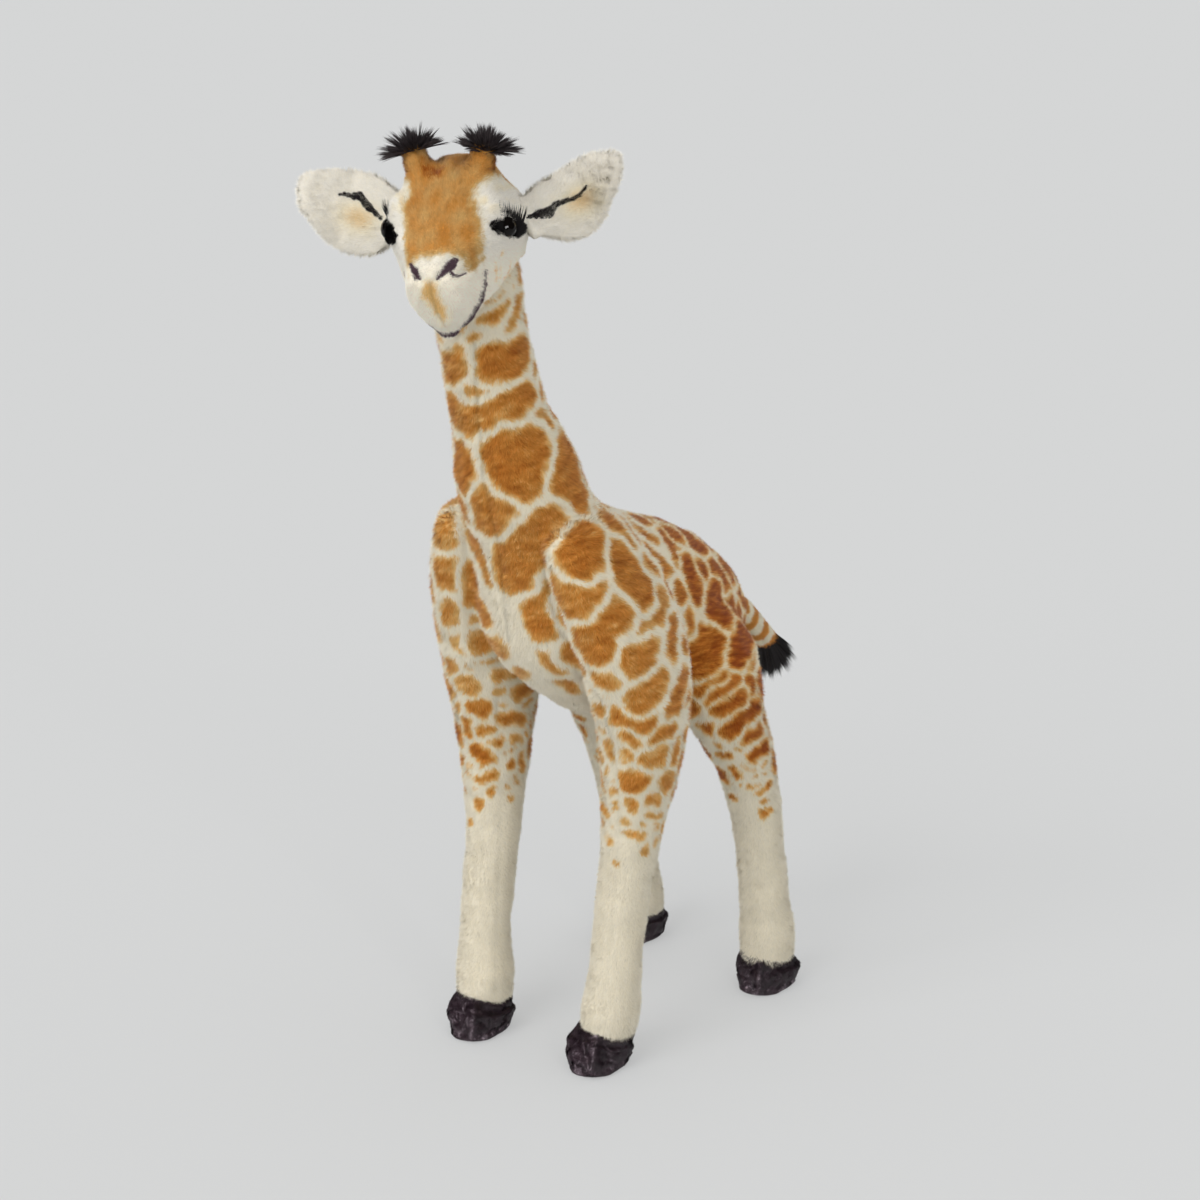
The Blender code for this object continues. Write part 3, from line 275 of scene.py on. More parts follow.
class HoofSettings(bpy.types.PropertyGroup):
    """Colours of the crushed velour."""

    velour: colour_setting("Velour", "Hoof velour", linear(50, 35, 43))
    # The second colour is that of the painted sheen on the velour's ridges and edges.
    painted_sheen_colour: colour_setting("Bloom", "Brushed-up velour", linear(186, 168, 178))


class StageSettings(bpy.types.PropertyGroup):
    """Floor, light and camera."""

    floor: colour_setting("Floor", "Floor colour", linear(213, 214, 214))
    backdrop: colour_setting("Backdrop", "Backdrop colour", linear(213, 215, 214))
    sun: FloatProperty(name="Key light", description="Strength of the key light", default=1.4)
    front: FloatProperty(name="Front light", description="Strength of the low front light", default=1.1)
    fill: FloatProperty(name="Fill light", description="Strength of the sky", default=0.70)
    glow: FloatProperty(name="Glow", description="Share of the floor's light that is its own", default=0.55)
    lens: FloatProperty(name="Lens", description="Focal length in millimetres", default=77.0)


# Node tools


def nodes_of(material):
    """A material's tree and its shader."""
    material.use_nodes = True
    tree = material.node_tree
    return tree, tree.nodes["Principled BSDF"]


def add_node(tree, kind, **values):
    """A node with its settings."""
    node = tree.nodes.new(kind)
    for key, value in values.items():
        setattr(node, key, value)
    return node


def join(tree, *rows):
    """Links, each from one node's output to another node's input."""
    for node, output, other, socket in rows:
        tree.links.new(node.outputs[output], other.inputs[socket])


def new_group(name, inputs, outputs):
    """A new node group with its sockets, and its input and output nodes."""
    group = bpy.data.node_groups.new(name, "ShaderNodeTree")
    for way, sockets in (("INPUT", inputs), ("OUTPUT", outputs)):
        for socket, kind in sockets.items():
            group.interface.new_socket(socket, in_out=way, socket_type="NodeSocket" + kind)
    return group, add_node(group, "NodeGroupInput"), add_node(group, "NodeGroupOutput")


def pile_colour_group():
    """Node group: the coat's colour from its tone, 0 white to 1 rust, and its shade."""
    name = "coat colour"
    if name in bpy.data.node_groups:
        return bpy.data.node_groups[name]
    coat = bpy.context.scene.giraffe_coat
    group, into, out = new_group(name, {"Tone": "Float", "Shade": "Float"}, {"Color": "Color"})
    ramp = add_node(group, "ShaderNodeValToRGB")
    stops = ramp.color_ramp
    rows = (
        (0.0, coat.white), (0.16, coat.cream), (0.36, coat.edge), (0.56, coat.golden),
        (0.80, coat.brown), (1.0, coat.rust),
    )
    stops.elements[0].position, stops.elements[0].color = rows[0]
    stops.elements[1].position, stops.elements[1].color = rows[-1]
    for place, colour in rows[1:-1]:
        stops.elements.new(place).color = colour
    value = add_node(group, "ShaderNodeMapRange")
    value.inputs["To Min"].default_value = 0.55
    value.inputs["To Max"].default_value = 1.32
    tint = add_node(group, "ShaderNodeHueSaturation")
    join(
        group, (into, "Tone", ramp, "Fac"), (into, "Shade", value, "Value"), (value, "Result", tint, "Value"),
        (ramp, "Color", tint, "Color"), (tint, "Color", out, "Color"),
    )
    return group


def mottle_group():
    """Node group: a bump of small tufts and a soft shade that varies over the surface."""
    name = "plush mottle"
    if name in bpy.data.node_groups:
        return bpy.data.node_groups[name]
    group, into, out = new_group(
        name, {"Scale": "Float", "Depth": "Float"}, {"Shade": "Float", "Normal": "Vector"}
    )
    place = add_node(group, "ShaderNodeTexCoord")
    noise = add_node(group, "ShaderNodeTexNoise")
    noise.inputs["Detail"].default_value = 4.0
    bump = add_node(group, "ShaderNodeBump")
    bump.inputs["Strength"].default_value = 0.6
    join(
        group, (place, "Object", noise, "Vector"), (into, "Scale", noise, "Scale"),
        (noise, "Fac", bump, "Height"), (into, "Depth", bump, "Distance"), (noise, "Fac", out, "Shade"),
        (bump, "Normal", out, "Normal"),
    )
    return group


def use_group(tree, group, **values):
    """A group placed in a material with its own values."""
    node = add_node(tree, "ShaderNodeGroup", node_tree=group)
    for key, value in values.items():
        node.inputs[key].default_value = value
    return node


# Materials


def lock_map(tree):
    """The node that gives each lock's tone as X and its shade as Y."""
    place = add_node(tree, "ShaderNodeUVMap", uv_map="OFBake")
    parts = add_node(tree, "ShaderNodeSeparateXYZ")
    join(tree, (place, "UV", parts, "Vector"))
    return parts


def pile_material():
    """The coat's pile: tone and shade lie in each lock's own map."""
    if "coat_pile" in bpy.data.materials:
        return bpy.data.materials["coat_pile"]
    made = bpy.data.materials.new("coat_pile")
    tree, shader = nodes_of(made)
    parts = lock_map(tree)
    colour = use_group(tree, pile_colour_group())
    join(
        tree, (parts, "X", colour, "Tone"), (parts, "Y", colour, "Shade"),
        (colour, "Color", shader, "Base Color"),
    )
    shader.inputs["Roughness"].default_value = 0.85
    shader.inputs["Specular IOR Level"].default_value = 0.15
    shader.inputs["Sheen Weight"].default_value = 0.12
    shader.inputs["Sheen Roughness"].default_value = 0.5
    return made


def backing_material():
    """The plush's backing under the pile, printed with the same patches."""
    if "coat_backing" in bpy.data.materials:
        return bpy.data.materials["coat_backing"]
    made = bpy.data.materials.new("coat_backing")
    tree, shader = nodes_of(made)
    tone = add_node(tree, "ShaderNodeAttribute", attribute_name="tone")
    # The dark attribute is painted shade along the seams; it lowers the backing's shade.
    dark = add_node(tree, "ShaderNodeAttribute", attribute_name="dark")
    mottle = use_group(tree, mottle_group(), Scale=160.0, Depth=0.003)
    less = add_node(tree, "ShaderNodeMath", operation="MULTIPLY_ADD")
    less.inputs[1].default_value = -0.75
    colour = use_group(tree, pile_colour_group())
    mark = add_node(tree, "ShaderNodeAttribute", attribute_name="mark")
    mix = add_node(tree, "ShaderNodeMix", data_type="RGBA")
    mix.inputs[7].default_value = bpy.context.scene.giraffe_coat.black
    join(
        tree, (tone, "Fac", colour, "Tone"), (dark, "Fac", less, 0), (mottle, "Shade", less, 2),
        (less, "Value", colour, "Shade"), (mark, "Fac", mix, 0), (colour, "Color", mix, 6),
        (mix, 2, shader, "Base Color"), (mottle, "Normal", shader, "Normal"),
    )
    shader.inputs["Roughness"].default_value = 0.95
    shader.inputs["Specular IOR Level"].default_value = 0.1
    return made


def dark_pile_material(name, colour, roughness):
    """Dark pile whose locks differ a little in shade."""
    if name in bpy.data.materials:
        return bpy.data.materials[name]
    made = bpy.data.materials.new(name)
    tree, shader = nodes_of(made)
    parts = lock_map(tree)
    value = add_node(tree, "ShaderNodeMapRange")
    value.inputs["To Min"].default_value = 0.35
    value.inputs["To Max"].default_value = 1.7
    tint = add_node(tree, "ShaderNodeHueSaturation")
    tint.inputs["Color"].default_value = colour
    join(
        tree, (parts, "Y", value, "Value"), (value, "Result", tint, "Value"),
        (tint, "Color", shader, "Base Color"),
    )
    shader.inputs["Roughness"].default_value = roughness
    shader.inputs["Specular IOR Level"].default_value = 0.35
    return made


def velour_material():
    """Crushed velour of the hooves, with painted sheen on its ridges."""
    if "hoof_velour_finish" in bpy.data.materials:
        return bpy.data.materials["hoof_velour_finish"]
    hoof = bpy.context.scene.giraffe_hoof
    made = bpy.data.materials.new("hoof_velour_finish")
    tree, shader = nodes_of(made)
    painted_sheen = add_node(tree, "ShaderNodeAttribute", attribute_name="painted_sheen")
    mix = add_node(tree, "ShaderNodeMix", data_type="RGBA")
    mix.inputs[6].default_value = hoof.velour
    mix.inputs[7].default_value = hoof.painted_sheen_colour
    fine = use_group(tree, mottle_group(), Scale=420.0, Depth=0.0015)
    join(
        tree, (painted_sheen, "Fac", mix, 0), (mix, 2, shader, "Base Color"), (fine, "Normal", shader, "Normal")
    )
    shader.inputs["Roughness"].default_value = 0.55
    shader.inputs["Sheen Weight"].default_value = 0.2
    shader.inputs["Sheen Roughness"].default_value = 0.35
    return made


def velour_pile_material():
    """Short velour pile: tone is how much painted sheen it carries."""
    if "velour_pile" in bpy.data.materials:
        return bpy.data.materials["velour_pile"]
    hoof = bpy.context.scene.giraffe_hoof
    made = bpy.data.materials.new("velour_pile")
    tree, shader = nodes_of(made)
    parts = lock_map(tree)
    mix = add_node(tree, "ShaderNodeMix", data_type="RGBA")
    mix.inputs[6].default_value = hoof.velour
    mix.inputs[7].default_value = hoof.painted_sheen_colour
    value = add_node(tree, "ShaderNodeMapRange")
    value.inputs["To Min"].default_value = 0.4
    value.inputs["To Max"].default_value = 1.6
    tint = add_node(tree, "ShaderNodeHueSaturation")
    join(
        tree, (parts, "X", mix, 0), (parts, "Y", value, "Value"), (value, "Result", tint, "Value"),
        (mix, 2, tint, "Color"), (tint, "Color", shader, "Base Color"),
    )
    shader.inputs["Roughness"].default_value = 0.42
    shader.inputs["Specular IOR Level"].default_value = 0.7
    return made


def plain_material(name, colour, roughness, metallic=0.0, scale=300.0, depth=0.0004):
    """A hard or felt finish with a fine uneven surface."""
    if name in bpy.data.materials:
        return bpy.data.materials[name]
    made = bpy.data.materials.new(name)
    tree, shader = nodes_of(made)
    fine = use_group(tree, mottle_group(), Scale=scale, Depth=depth)
    join(tree, (fine, "Normal", shader, "Normal"))
    shader.inputs["Base Color"].default_value = colour
    shader.inputs["Roughness"].default_value = roughness
    shader.inputs["Metallic"].default_value = metallic
    return made


# Mesh tools


def select_only(*objs):
    """Select these objects and make the first one active."""
    bpy.ops.object.select_all(action="DESELECT")
    for obj in objs:
        obj.select_set(True)
    bpy.context.view_layer.objects.active = objs[0]


def apply_modifier(obj, name, kind, **values):
    """Add one modifier and apply it."""
    made = obj.modifiers.new(name, kind)
    for key, value in values.items():
        setattr(made, key, value)
    select_only(obj)
    bpy.ops.object.modifier_apply(modifier=made.name)


def solid_copy(name, nodes, grow=0.0):
    """CAD solids copied into one new object, each grown a little so that they meet."""
    shape = bmesh.new()
    for node in nodes:
        part = bmesh.new()
        part.from_mesh(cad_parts[node].data)
        bmesh.ops.remove_doubles(part, verts=part.verts, dist=1e-5)
        part.normal_update()
        moves = [vertex.normal * grow for vertex in part.verts]
        for vertex, move in zip(part.verts, moves):
            vertex.co += move
        mesh = bpy.data.meshes.new("part")
        part.to_mesh(mesh)
        part.free()
        shape.from_mesh(mesh)
        bpy.data.meshes.remove(mesh)
    mesh = bpy.data.meshes.new(name)
    shape.to_mesh(mesh)
    shape.free()
    obj = bpy.data.objects.new(name, mesh)
    bpy.context.scene.collection.objects.link(obj)
    return obj


def keep_largest(obj):
    """Drop closed pockets that the remesh leaves inside."""
    shape = bmesh.new()
    shape.from_mesh(obj.data)
    left = set(shape.verts)
    islands = []
    while left:
        reached = {left.pop()}
        border = list(reached)
        while border:
            vertex = border.pop()
            for edge in vertex.link_edges:
                other = edge.other_vert(vertex)
                if other in left:
                    left.remove(other)
                    reached.add(other)
                    border.append(other)
        islands.append(reached)
    islands.sort(key=len)
    for island in islands[:-1]:
        bmesh.ops.delete(shape, geom=list(island), context="VERTS")
    shape.to_mesh(obj.data)
    shape.free()


def skin_from(name, nodes, cell, smooth, grow=0.0012):
    """One soft skin over CAD solids."""
    obj = solid_copy(name, nodes, grow)
    apply_modifier(obj, "cells", "REMESH", mode="VOXEL", voxel_size=cell, use_smooth_shade=True)
    keep_largest(obj)
    apply_modifier(obj, "soft", "SMOOTH", factor=0.5, iterations=smooth)
    obj.data.shade_smooth()
    return obj


def places_of(obj):
    """A mesh's vertices as rows."""
    rows = np.empty(len(obj.data.vertices) * 3, np.float32)
    obj.data.vertices.foreach_get("co", rows)
    return rows.reshape(-1, 3).astype(float)


def normals_of(obj):
    """A mesh's vertex normals as rows."""
    rows = np.empty(len(obj.data.vertices) * 3, np.float32)
    obj.data.vertex_normals.foreach_get("vector", rows)
    return rows.reshape(-1, 3).astype(float)


def place_all(obj, rows):
    """Put a mesh's vertices at these rows."""
    obj.data.vertices.foreach_set("co", rows.astype(np.float32).ravel())
    obj.data.update()


def store(obj, name, values):
    """Keep one number per vertex on a mesh."""
    layer = obj.data.attributes.get(name) or obj.data.attributes.new(name, "FLOAT", "POINT")
    layer.data.foreach_set("value", values.astype(np.float32))


def step(values, low, high):
    """A smooth step from 0 to 1."""
    share = np.clip((values - low) / (high - low), 0, 1)
    return share * share * (3 - 2 * share)


def ripple(points, length, seed, waves=14):
    """Smooth noise, mostly from -1 to 1, whose swells are about a length across."""
    draw = np.random.default_rng(seed)
    total = np.zeros(len(points))
    for _ in range(waves):
        way = draw.normal(size=3)
        way *= 2 * math.pi * draw.uniform(0.5, 1.6) / (length * np.linalg.norm(way))
        total += np.sin(points @ way + draw.uniform(0, 2 * math.pi))
    return total / math.sqrt(waves)


def line_distance(points, line):
    """How far points are from a line of straight runs."""
    best = np.full(len(points), 1e9)
    line = np.asarray(line, float)
    for one, other in zip(line[:-1], line[1:]):
        run = other - one
        share = np.clip((points - one) @ run / max(run @ run, 1e-12), 0, 1)
        gap = np.linalg.norm(points - (one + share[:, None] * run), axis=1)
        best = np.minimum(best, gap)
    return best


def stroke_gap(points, rows):
    """How far flat points are from a stroke of varying half width, negative inside it."""
    rows = np.asarray(rows, float) * MM
    best = np.full(len(points), 1.0)
    for one, other in zip(rows[:-1], rows[1:]):
        run = other[:2] - one[:2]
        share = np.clip((points - one[:2]) @ run / max(run @ run, 1e-12), 0, 1)
        gap = np.linalg.norm(points - (one[:2] + share[:, None] * run), axis=1)
        best = np.minimum(best, gap - (one[2] + share * (other[2] - one[2])))
    return best


def polygon_depth(points, outline):
    """How deep flat points lie inside an outline, negative outside."""
    outline = np.asarray(outline, float)
    closed = np.vstack([outline, outline[:1]])
    inside = np.zeros(len(points), bool)
    for (x0, y0), (x1, y1) in zip(closed[:-1], closed[1:]):
        crosses = (y0 > points[:, 1]) != (y1 > points[:, 1])
        at = x0 + (points[:, 1] - y0) * (x1 - x0) / (y1 - y0 if y1 != y0 else 1e-9)
        inside ^= crosses & (points[:, 0] < at)
    gap = line_distance(points, closed)
    return np.where(inside, gap, -gap)


def unit(rows):
    """Rows at length one."""
    return rows / np.maximum(np.linalg.norm(rows, axis=1, keepdims=True), 1e-9)


# Patches


# How much the corners of patches are rounded.
SOFT = 0.0024


class Patches:
    """The coat's patches: points with a reach, in groups that each print one patch."""

    def __init__(self):
        self.points = []
        self.reach = []
        self.group = []
        self.count = 0

    def add(self, points, reach):
        """One more patch, with its points joined up."""
        rows = [points[0]]
        for one, other in zip(points[:-1], points[1:]):
            steps = max(1, int(np.linalg.norm(other - one) / 0.007))
            rows.extend(one + (other - one) * at / steps for at in range(1, steps + 1))
        for row in rows:
            self.points.append(row)
            self.reach.append(reach)
            self.group.append(self.count)
        self.count += 1
        return np.array(rows)

    def clear_of(self, rows, reach, share):
        """True where a patch would keep away from all that are there."""
        known = np.array(self.points)
        gaps = np.linalg.norm(rows[:, None] - known[None], axis=2)
        return bool((gaps > (np.array(self.reach)[None] + reach) * share).all())

    def edge(self, points, gap):
        """How far points lie inside their patch, negative outside, and the patch of each."""
        seeds = np.array(self.points)
        reach = np.array(self.reach)
        group = np.array(self.group)
        found = np.empty(len(points))
        owner = np.empty(len(points), int)
        for start in range(0, len(points), 6000):
            part = points[start : start + 6000]
            squares = (part**2).sum(1)[:, None] + (seeds**2).sum(1)[None] - 2 * part @ seeds.T
            power = squares - reach[None] ** 2
            first = power.argmin(1)
            rows = np.arange(len(part))
            own = np.sqrt(np.maximum(squares[rows, first], 0))
            low = power[rows, first]
            total = np.exp(-(reach[first] - own) / SOFT)
            found_group = group[first]
            for _ in range(2):
                power[group[None] == found_group[:, None]] = 1e9
                other = power.argmin(1)
                apart = np.linalg.norm(seeds[first] - seeds[other], axis=1)
                border = (power[rows, other] - low) / np.maximum(2 * apart, 1e-6)
                total += np.exp(-(border - gap[start : start + 6000] / 2) / SOFT)
                found_group = group[other]
            found[start : start + 6000] = -SOFT * np.log(total)
            owner[start : start + 6000] = group[first]
        return found, owner


def patch_table():
    """All patches: those seen in the photograph, their mirror images, and fills between."""
    patches = Patches()
    seen = []
    for row in PATCHES:
        points = np.array(row[1:], float).reshape(-1, 3) * MM
        grow = 1.22 if points[0, 2] > 0.5 else 1.30
        reach = row[0] * MM * (1.34 if points[0, 1] > 0 and points[0, 2] > 0.42 else grow)
        seen.append((patches.add(points, reach), reach))
    flip = np.array((-1.0, 1.0, 1.0))
    for points, reach in seen:
        if patches.clear_of(points * flip, reach, 0.8):
            patches.add(points * flip, reach)
    return patches


def fill_patches(patches, points, normals):
    """Patches thrown at random on the sides that the photograph doesn't show."""
    draw = np.random.default_rng(11)
    x, y, z = points.T
    on_leg = z < 0.44
    chest = (y < -0.17) & (z < 0.72) & (np.abs(x) < 0.05)
    belly = (normals[:, 2] < -0.45) & (z < 0.62)
    ends = np.where(y < 0, 0.345, 0.325)
    open_skin = ~(chest | belly | (z < ends) | (on_leg & (np.abs(x) < 0.06)))
    choices = draw.permutation(np.flatnonzero(open_skin))
    for large, tries in ((1.0, 5000), (0.8, 4000), (0.6, 4000)):
        for at in choices[:tries]:
            size = 0.026 if z[at] > 0.5 else 0.016 + 0.008 * (z[at] - 0.32) / 0.18
            reach = size * large * draw.uniform(0.85, 1.1)
            if patches.clear_of(points[at][None], reach, 0.80):
                patches.add(points[at][None], reach * 1.25)
        choices = draw.permutation(choices)
    return patches


def patch_tones(patches, seed):
    """One inner tone for each patch, by where it lies."""
    draw = np.random.default_rng(seed)
    groups = np.array(patches.group)
    seeds = np.array(patches.points)
    tones = np.empty(patches.count)
    for group in range(patches.count):
        x, y, z = seeds[groups == group].mean(axis=0)
        tone = 0.64 + 0.30 * float(step(np.array(y), -0.12, 0.12))
        if x < -0.03 and y < -0.05:
            tone = 0.56
        if x < -0.02 and z > 0.8:
            tone = 0.78
        if z < 0.45 and y < 0:
            tone = 0.74 if x < 0 else 0.62
        tones[group] = tone + draw.uniform(-0.06, 0.06)
    return tones


# Pile


def lay_pile(name, skin, comb, length, count, seed, tone, material, pick=None, lift=0.52, width=1.0,
             spread=0.35, share=None, toward=None):
    """Locks of pile over a skin, each one thin blade, combed along a field.

    comb gives a way for each vertex of the skin, length its pile's length, and tone turns
    the roots into a tone and a shade. pick keeps only some roots. toward bends the normals.
    """
    draw = np.random.default_rng(seed)
    coat = bpy.context.scene.giraffe_coat
    mesh = skin.data
    mesh.calc_loop_triangles()
    corners = np.empty(len(mesh.loop_triangles) * 3, np.int32)
    mesh.loop_triangles.foreach_get("vertices", corners)
    corners = corners.reshape(-1, 3)
    points = places_of(skin)
    normals = normals_of(skin)
    sides = points[corners]
    areas = np.linalg.norm(np.cross(sides[:, 1] - sides[:, 0], sides[:, 2] - sides[:, 0]), axis=1) / 2
    weight = areas * (length[corners].mean(axis=1) > 0.0004)
    if share is not None:
        weight = weight * share[corners].mean(axis=1)
    sums = np.cumsum(weight)
    if sums[-1] <= 0:
        return None
    marks = (np.arange(count) + draw.uniform(size=count)) * sums[-1] / count
    chosen = corners[np.minimum(np.searchsorted(sums, marks), len(corners) - 1)]
    a, b = draw.uniform(size=(2, count))
    over = a + b > 1
    a[over], b[over] = 1 - a[over], 1 - b[over]
    shares = np.stack([1 - a - b, a, b], axis=1)

    def mixed(rows):
        return (rows[chosen] * (shares[..., None] if rows.ndim == 2 else shares)).sum(axis=1)

    roots = mixed(points)
    keep = mixed(length) > 0.0008
    if pick is not None:
        keep &= pick(roots)
    roots = roots[keep]
    chosen, shares = chosen[keep], shares[keep]
    total = len(roots)
    if not total:
        return None
    up = unit(mixed(normals))
    lengths = mixed(length) * draw.uniform(0.72, 1.18, total)
    way = mixed(comb) + draw.normal(size=(total, 3)) * spread
    way = unit(way - up * (way * up).sum(1, keepdims=True))
    # Locks of one clump lean together, which gives plush its brushed look.
    sway = ripple(roots, 0.018, seed + 1)[:, None] * np.cross(up, way) * 0.35
    raised = lift + 0.07 * ripple(roots * (0.4, 0.4, 1.0), 0.008, seed + 2) + draw.normal(size=total) * 0.07
    lean = unit(up * raised[:, None] + (way + sway) * (1 - raised[:, None]))
    # The print lies on the pile, so a lock takes its tone at its foot and at its tip.
    foot, foot_shade = tone(roots + lean * (lengths * 0.35)[:, None], up, np.random.default_rng(seed + 3))
    head, head_shade = tone(roots + lean * lengths[:, None], up, np.random.default_rng(seed + 3))
    side = unit(np.cross(lean, up))
    half = side * (coat.pile_width * width / 2 * draw.uniform(0.75, 1.3, total))[:, None]
    # Blades turn a little about their own line, so that few are seen edge on.
    half += up * (half * draw.normal(size=(total, 1)) * 0.25).sum(1, keepdims=True)
    stack = np.stack([roots - half, roots + half, roots + lean * lengths[:, None]], axis=1)
    tris = np.arange(total * 3).reshape(-1, 3)
    flat = stack.reshape(-1, 3)
    first = flat[tris]
    soft = up * 1.6 + lean * 0.5 + side * draw.normal(size=(total, 1)) * 0.22
    if toward is not None:
        soft = soft + mixed(toward)
    soft = unit(soft)
    facing = (np.cross(first[:, 1] - first[:, 0], first[:, 2] - first[:, 0]) * soft).sum(1)
    tris[facing < 0] = tris[facing < 0][:, ::-1]
    made = bpy.data.meshes.new(name)
    made.vertices.add(len(flat))
    made.vertices.foreach_set("co", flat.astype(np.float32).ravel())
    made.loops.add(tris.size)
    made.loops.foreach_set("vertex_index", tris.astype(np.int32).ravel())
    made.polygons.add(len(tris))
    made.polygons.foreach_set("loop_start", (np.arange(len(tris)) * 3).astype(np.int32))
    uv = made.uv_layers.new(name="OFBake")
    heights = np.array((0.0, 0.0, 1.0))
    tone_rows = (foot[:, None] + (head - foot)[:, None] * heights[None]).ravel()
    shade_rows = foot_shade[:, None] + (head_shade - foot_shade)[:, None] * heights[None]
    shade_rows = (shade_rows + (heights[None] - 0.5) * 0.2).ravel()
    corner = tris.ravel()
    places = np.clip(np.stack([tone_rows[corner], shade_rows[corner]], axis=1), 0.001, 0.999)
    uv.data.foreach_set("uv", places.astype(np.float32).ravel())
    normal = made.attributes.new("custom_normal", "FLOAT_VECTOR", "POINT")
    normal.data.foreach_set("vector", np.repeat(soft, 3, axis=0).astype(np.float32).ravel())
    made.update()
    made.materials.append(material)
    obj = bpy.data.objects.new(name, made)
    bpy.context.scene.collection.objects.link(obj)
    return obj


def covered(skin, others, reach):
    """One for each vertex of a skin that has another skin close in front of it."""
    found = np.zeros(len(skin.data.vertices))
    for other in others:
        tree = BVHTree.FromPolygons(
            [vertex.co for vertex in other.data.vertices], [face.vertices for face in other.data.polygons]
        )
        for at, vertex in enumerate(skin.data.vertices):
            if found[at]:
                continue
            if tree.ray_cast(vertex.co + vertex.normal * 0.0005, vertex.normal, reach)[0] is not None:
                found[at] = 1
    return found


def in_head(points):
    """Points in the head's own frame: to the left, forwards, up."""
    turn = np.array(HEAD.to_3x3())
    local = (points - np.array(HEAD.translation)) @ turn
    return local[:, 0], -local[:, 1], local[:, 2]


def from_head(left, forward, up):
    """A place given in the head's own frame."""
    return np.array(HEAD @ Vector((left, -forward, up)))


# Body


def body_comb(points):
    """The way the body's pile is brushed: down the neck and legs, back and down on the trunk."""
    _, y, z = points.T
    way = np.tile((0.0, 0.35, -1.0), (len(points), 1))
    trunk = (z > 0.42) & (z < 0.80)
    back = np.tile((0.0, 0.85, -0.6), (len(points), 1))
    share = (trunk * step(y, -0.14, 0.0))[:, None]
    way = way * (1 - share) + back * share
    leg = step(-z, -0.50, -0.42)[:, None]
    way = way * (1 - leg) + np.array((0.0, 0.05, -1.0)) * leg
    rear = step(y, 0.17, 0.24)[:, None] * (1 - leg)
    way = way * (1 - rear) + np.array((0.0, 0.1, -1.0)) * rear
    return unit(way + np.stack([ripple(points, 0.07, at) for at in (31, 32, 33)], axis=1) * 0.12)


def seam_painted_shade(points):
    """Painted shade along the seams' grooves, fainter on the plain lower legs."""
    dark = np.zeros(len(points))
    strength = 0.15 + 0.85 * step(points[:, 2], 0.32, 0.55)
    for seam in BODY_SEAMS:
        gap = line_distance(points, np.array(seam) * MM)
        dark = np.maximum(dark, strength * np.exp(-((gap / 0.0026) ** 2)))
    return dark


class BodyCoat:
    """Tone and shade of the body's pile."""

    def __init__(self, skin):
        self.patches = patch_table()
        points, normals = places_of(skin), normals_of(skin)
        fill_patches(self.patches, points, normals)
        self.tones = patch_tones(self.patches, 5)

    def __call__(self, roots, up, draw):
        coat = bpy.context.scene.giraffe_coat
        x, y, z = roots.T
        gap = np.full(len(roots), coat.gap)
        gap[z < 0.5] = coat.gap * 0.55
        rear = step(y, 0.0, 0.07) * step(z, 0.40, 0.46)
        gap = gap * (1 - 0.62 * rear)
        sway = np.stack([ripple(roots, 0.035, at) for at in (46, 47, 48)], axis=1) * 0.0026
        edge, owner = self.patches.edge(roots + sway, gap)
        edge = edge + 0.0013 * ripple(roots, 0.012, 41) + draw.normal(size=len(roots)) * 0.0008
        # Fine ridges run across the nap, rising a little to the toy's left.
        ridges = np.stack([x * 0.2, y * 0.2, z - 0.30 * x], axis=1)
        streak = ripple(ridges, 0.0065, 44) + 0.8 * ripple(ridges * (1.6, 1.6, 1.0), 0.0032, 45)
        inner = self.tones[owner] + 0.05 * ripple(roots, 0.03, 42) - 0.07 * streak
        inner = inner + draw.normal(size=len(roots)) * 0.05
        share = step(edge, -0.0016, 0.0012)
        deep = step(edge, 0.0010, 0.0075)
        plain = 0.13 + 0.05 * rear
        tone = plain + (0.40 - plain) * share + (inner - 0.40) * deep * share
        tone = tone + draw.normal(size=len(roots)) * 0.015
        inside = step(edge, -0.001, 0.004)
        # The plain plush is painted lighter above the legs: painted light on the upper body, outside the
        # patches.
        shade = 0.57 + 0.10 * step(z, 0.40, 0.60) * (1 - inside)
        shade = shade + (0.01 + 0.04 * inside) * ripple(roots, 0.016, 43) + (0.008 + 0.11 * inside) * streak
        shade = shade + draw.normal(size=len(roots)) * (0.035 + 0.06 * inside) - 0.03 * inside
        # Painted shade darkens the pile along the seams' grooves.
        return tone, shade - 0.45 * seam_painted_shade(roots)


def sew(points, normals, seams, depth, width):
    """Vertices pulled in along seams, less on the lower legs."""
    depth = depth * (0.3 + 0.7 * step(points[:, 2], 0.35, 0.52))
    for seam in seams:
        gap = line_distance(points, np.array(seam) * MM)
        points = points - normals * (depth * np.exp(-((gap / width) ** 2)))[:, None]
    return points


LEGS = ("front_leg_left", "front_leg_right", "hind_leg_left", "hind_leg_right")


def build_body():
    """Body skin and its seams."""
    coat = bpy.context.scene.giraffe_coat
    skin = skin_from("coat_body", ("torso", *LEGS, "neck"), coat.skin_cell, 8)
    points, normals = places_of(skin), normals_of(skin)
    swell = 0.0009 * ripple(points, 0.07, 1) + 0.0003 * ripple(points, 0.025, 2)
    points = points + normals * (swell - 0.0032)[:, None]
    points = sew(points, normals, BODY_SEAMS, 0.0034, 0.005)
    # The legs swell a little over the hooves, and their ends stand down into them.
    sides = normals * (1.0, 1.0, 0.0)
    points = points + sides * (0.0020 * np.exp(-(((points[:, 2] - 0.078) / 0.018) ** 2)))[:, None]
    points[:, 2] -= 0.016 * (1 - step(points[:, 2], 0.050, 0.085))
    place_all(skin, points)
    return skin


def finish_skin(skin, tones, dark=0.0, mark=0.0):
    """Tone, painted seam shade and dark marks kept on a skin for its backing."""
    store(skin, "tone", tones)
    store(skin, "dark", tones * 0 + dark)
    store(skin, "mark", tones * 0 + mark)
    skin.data.materials.clear()
    skin.data.materials.append(backing_material())


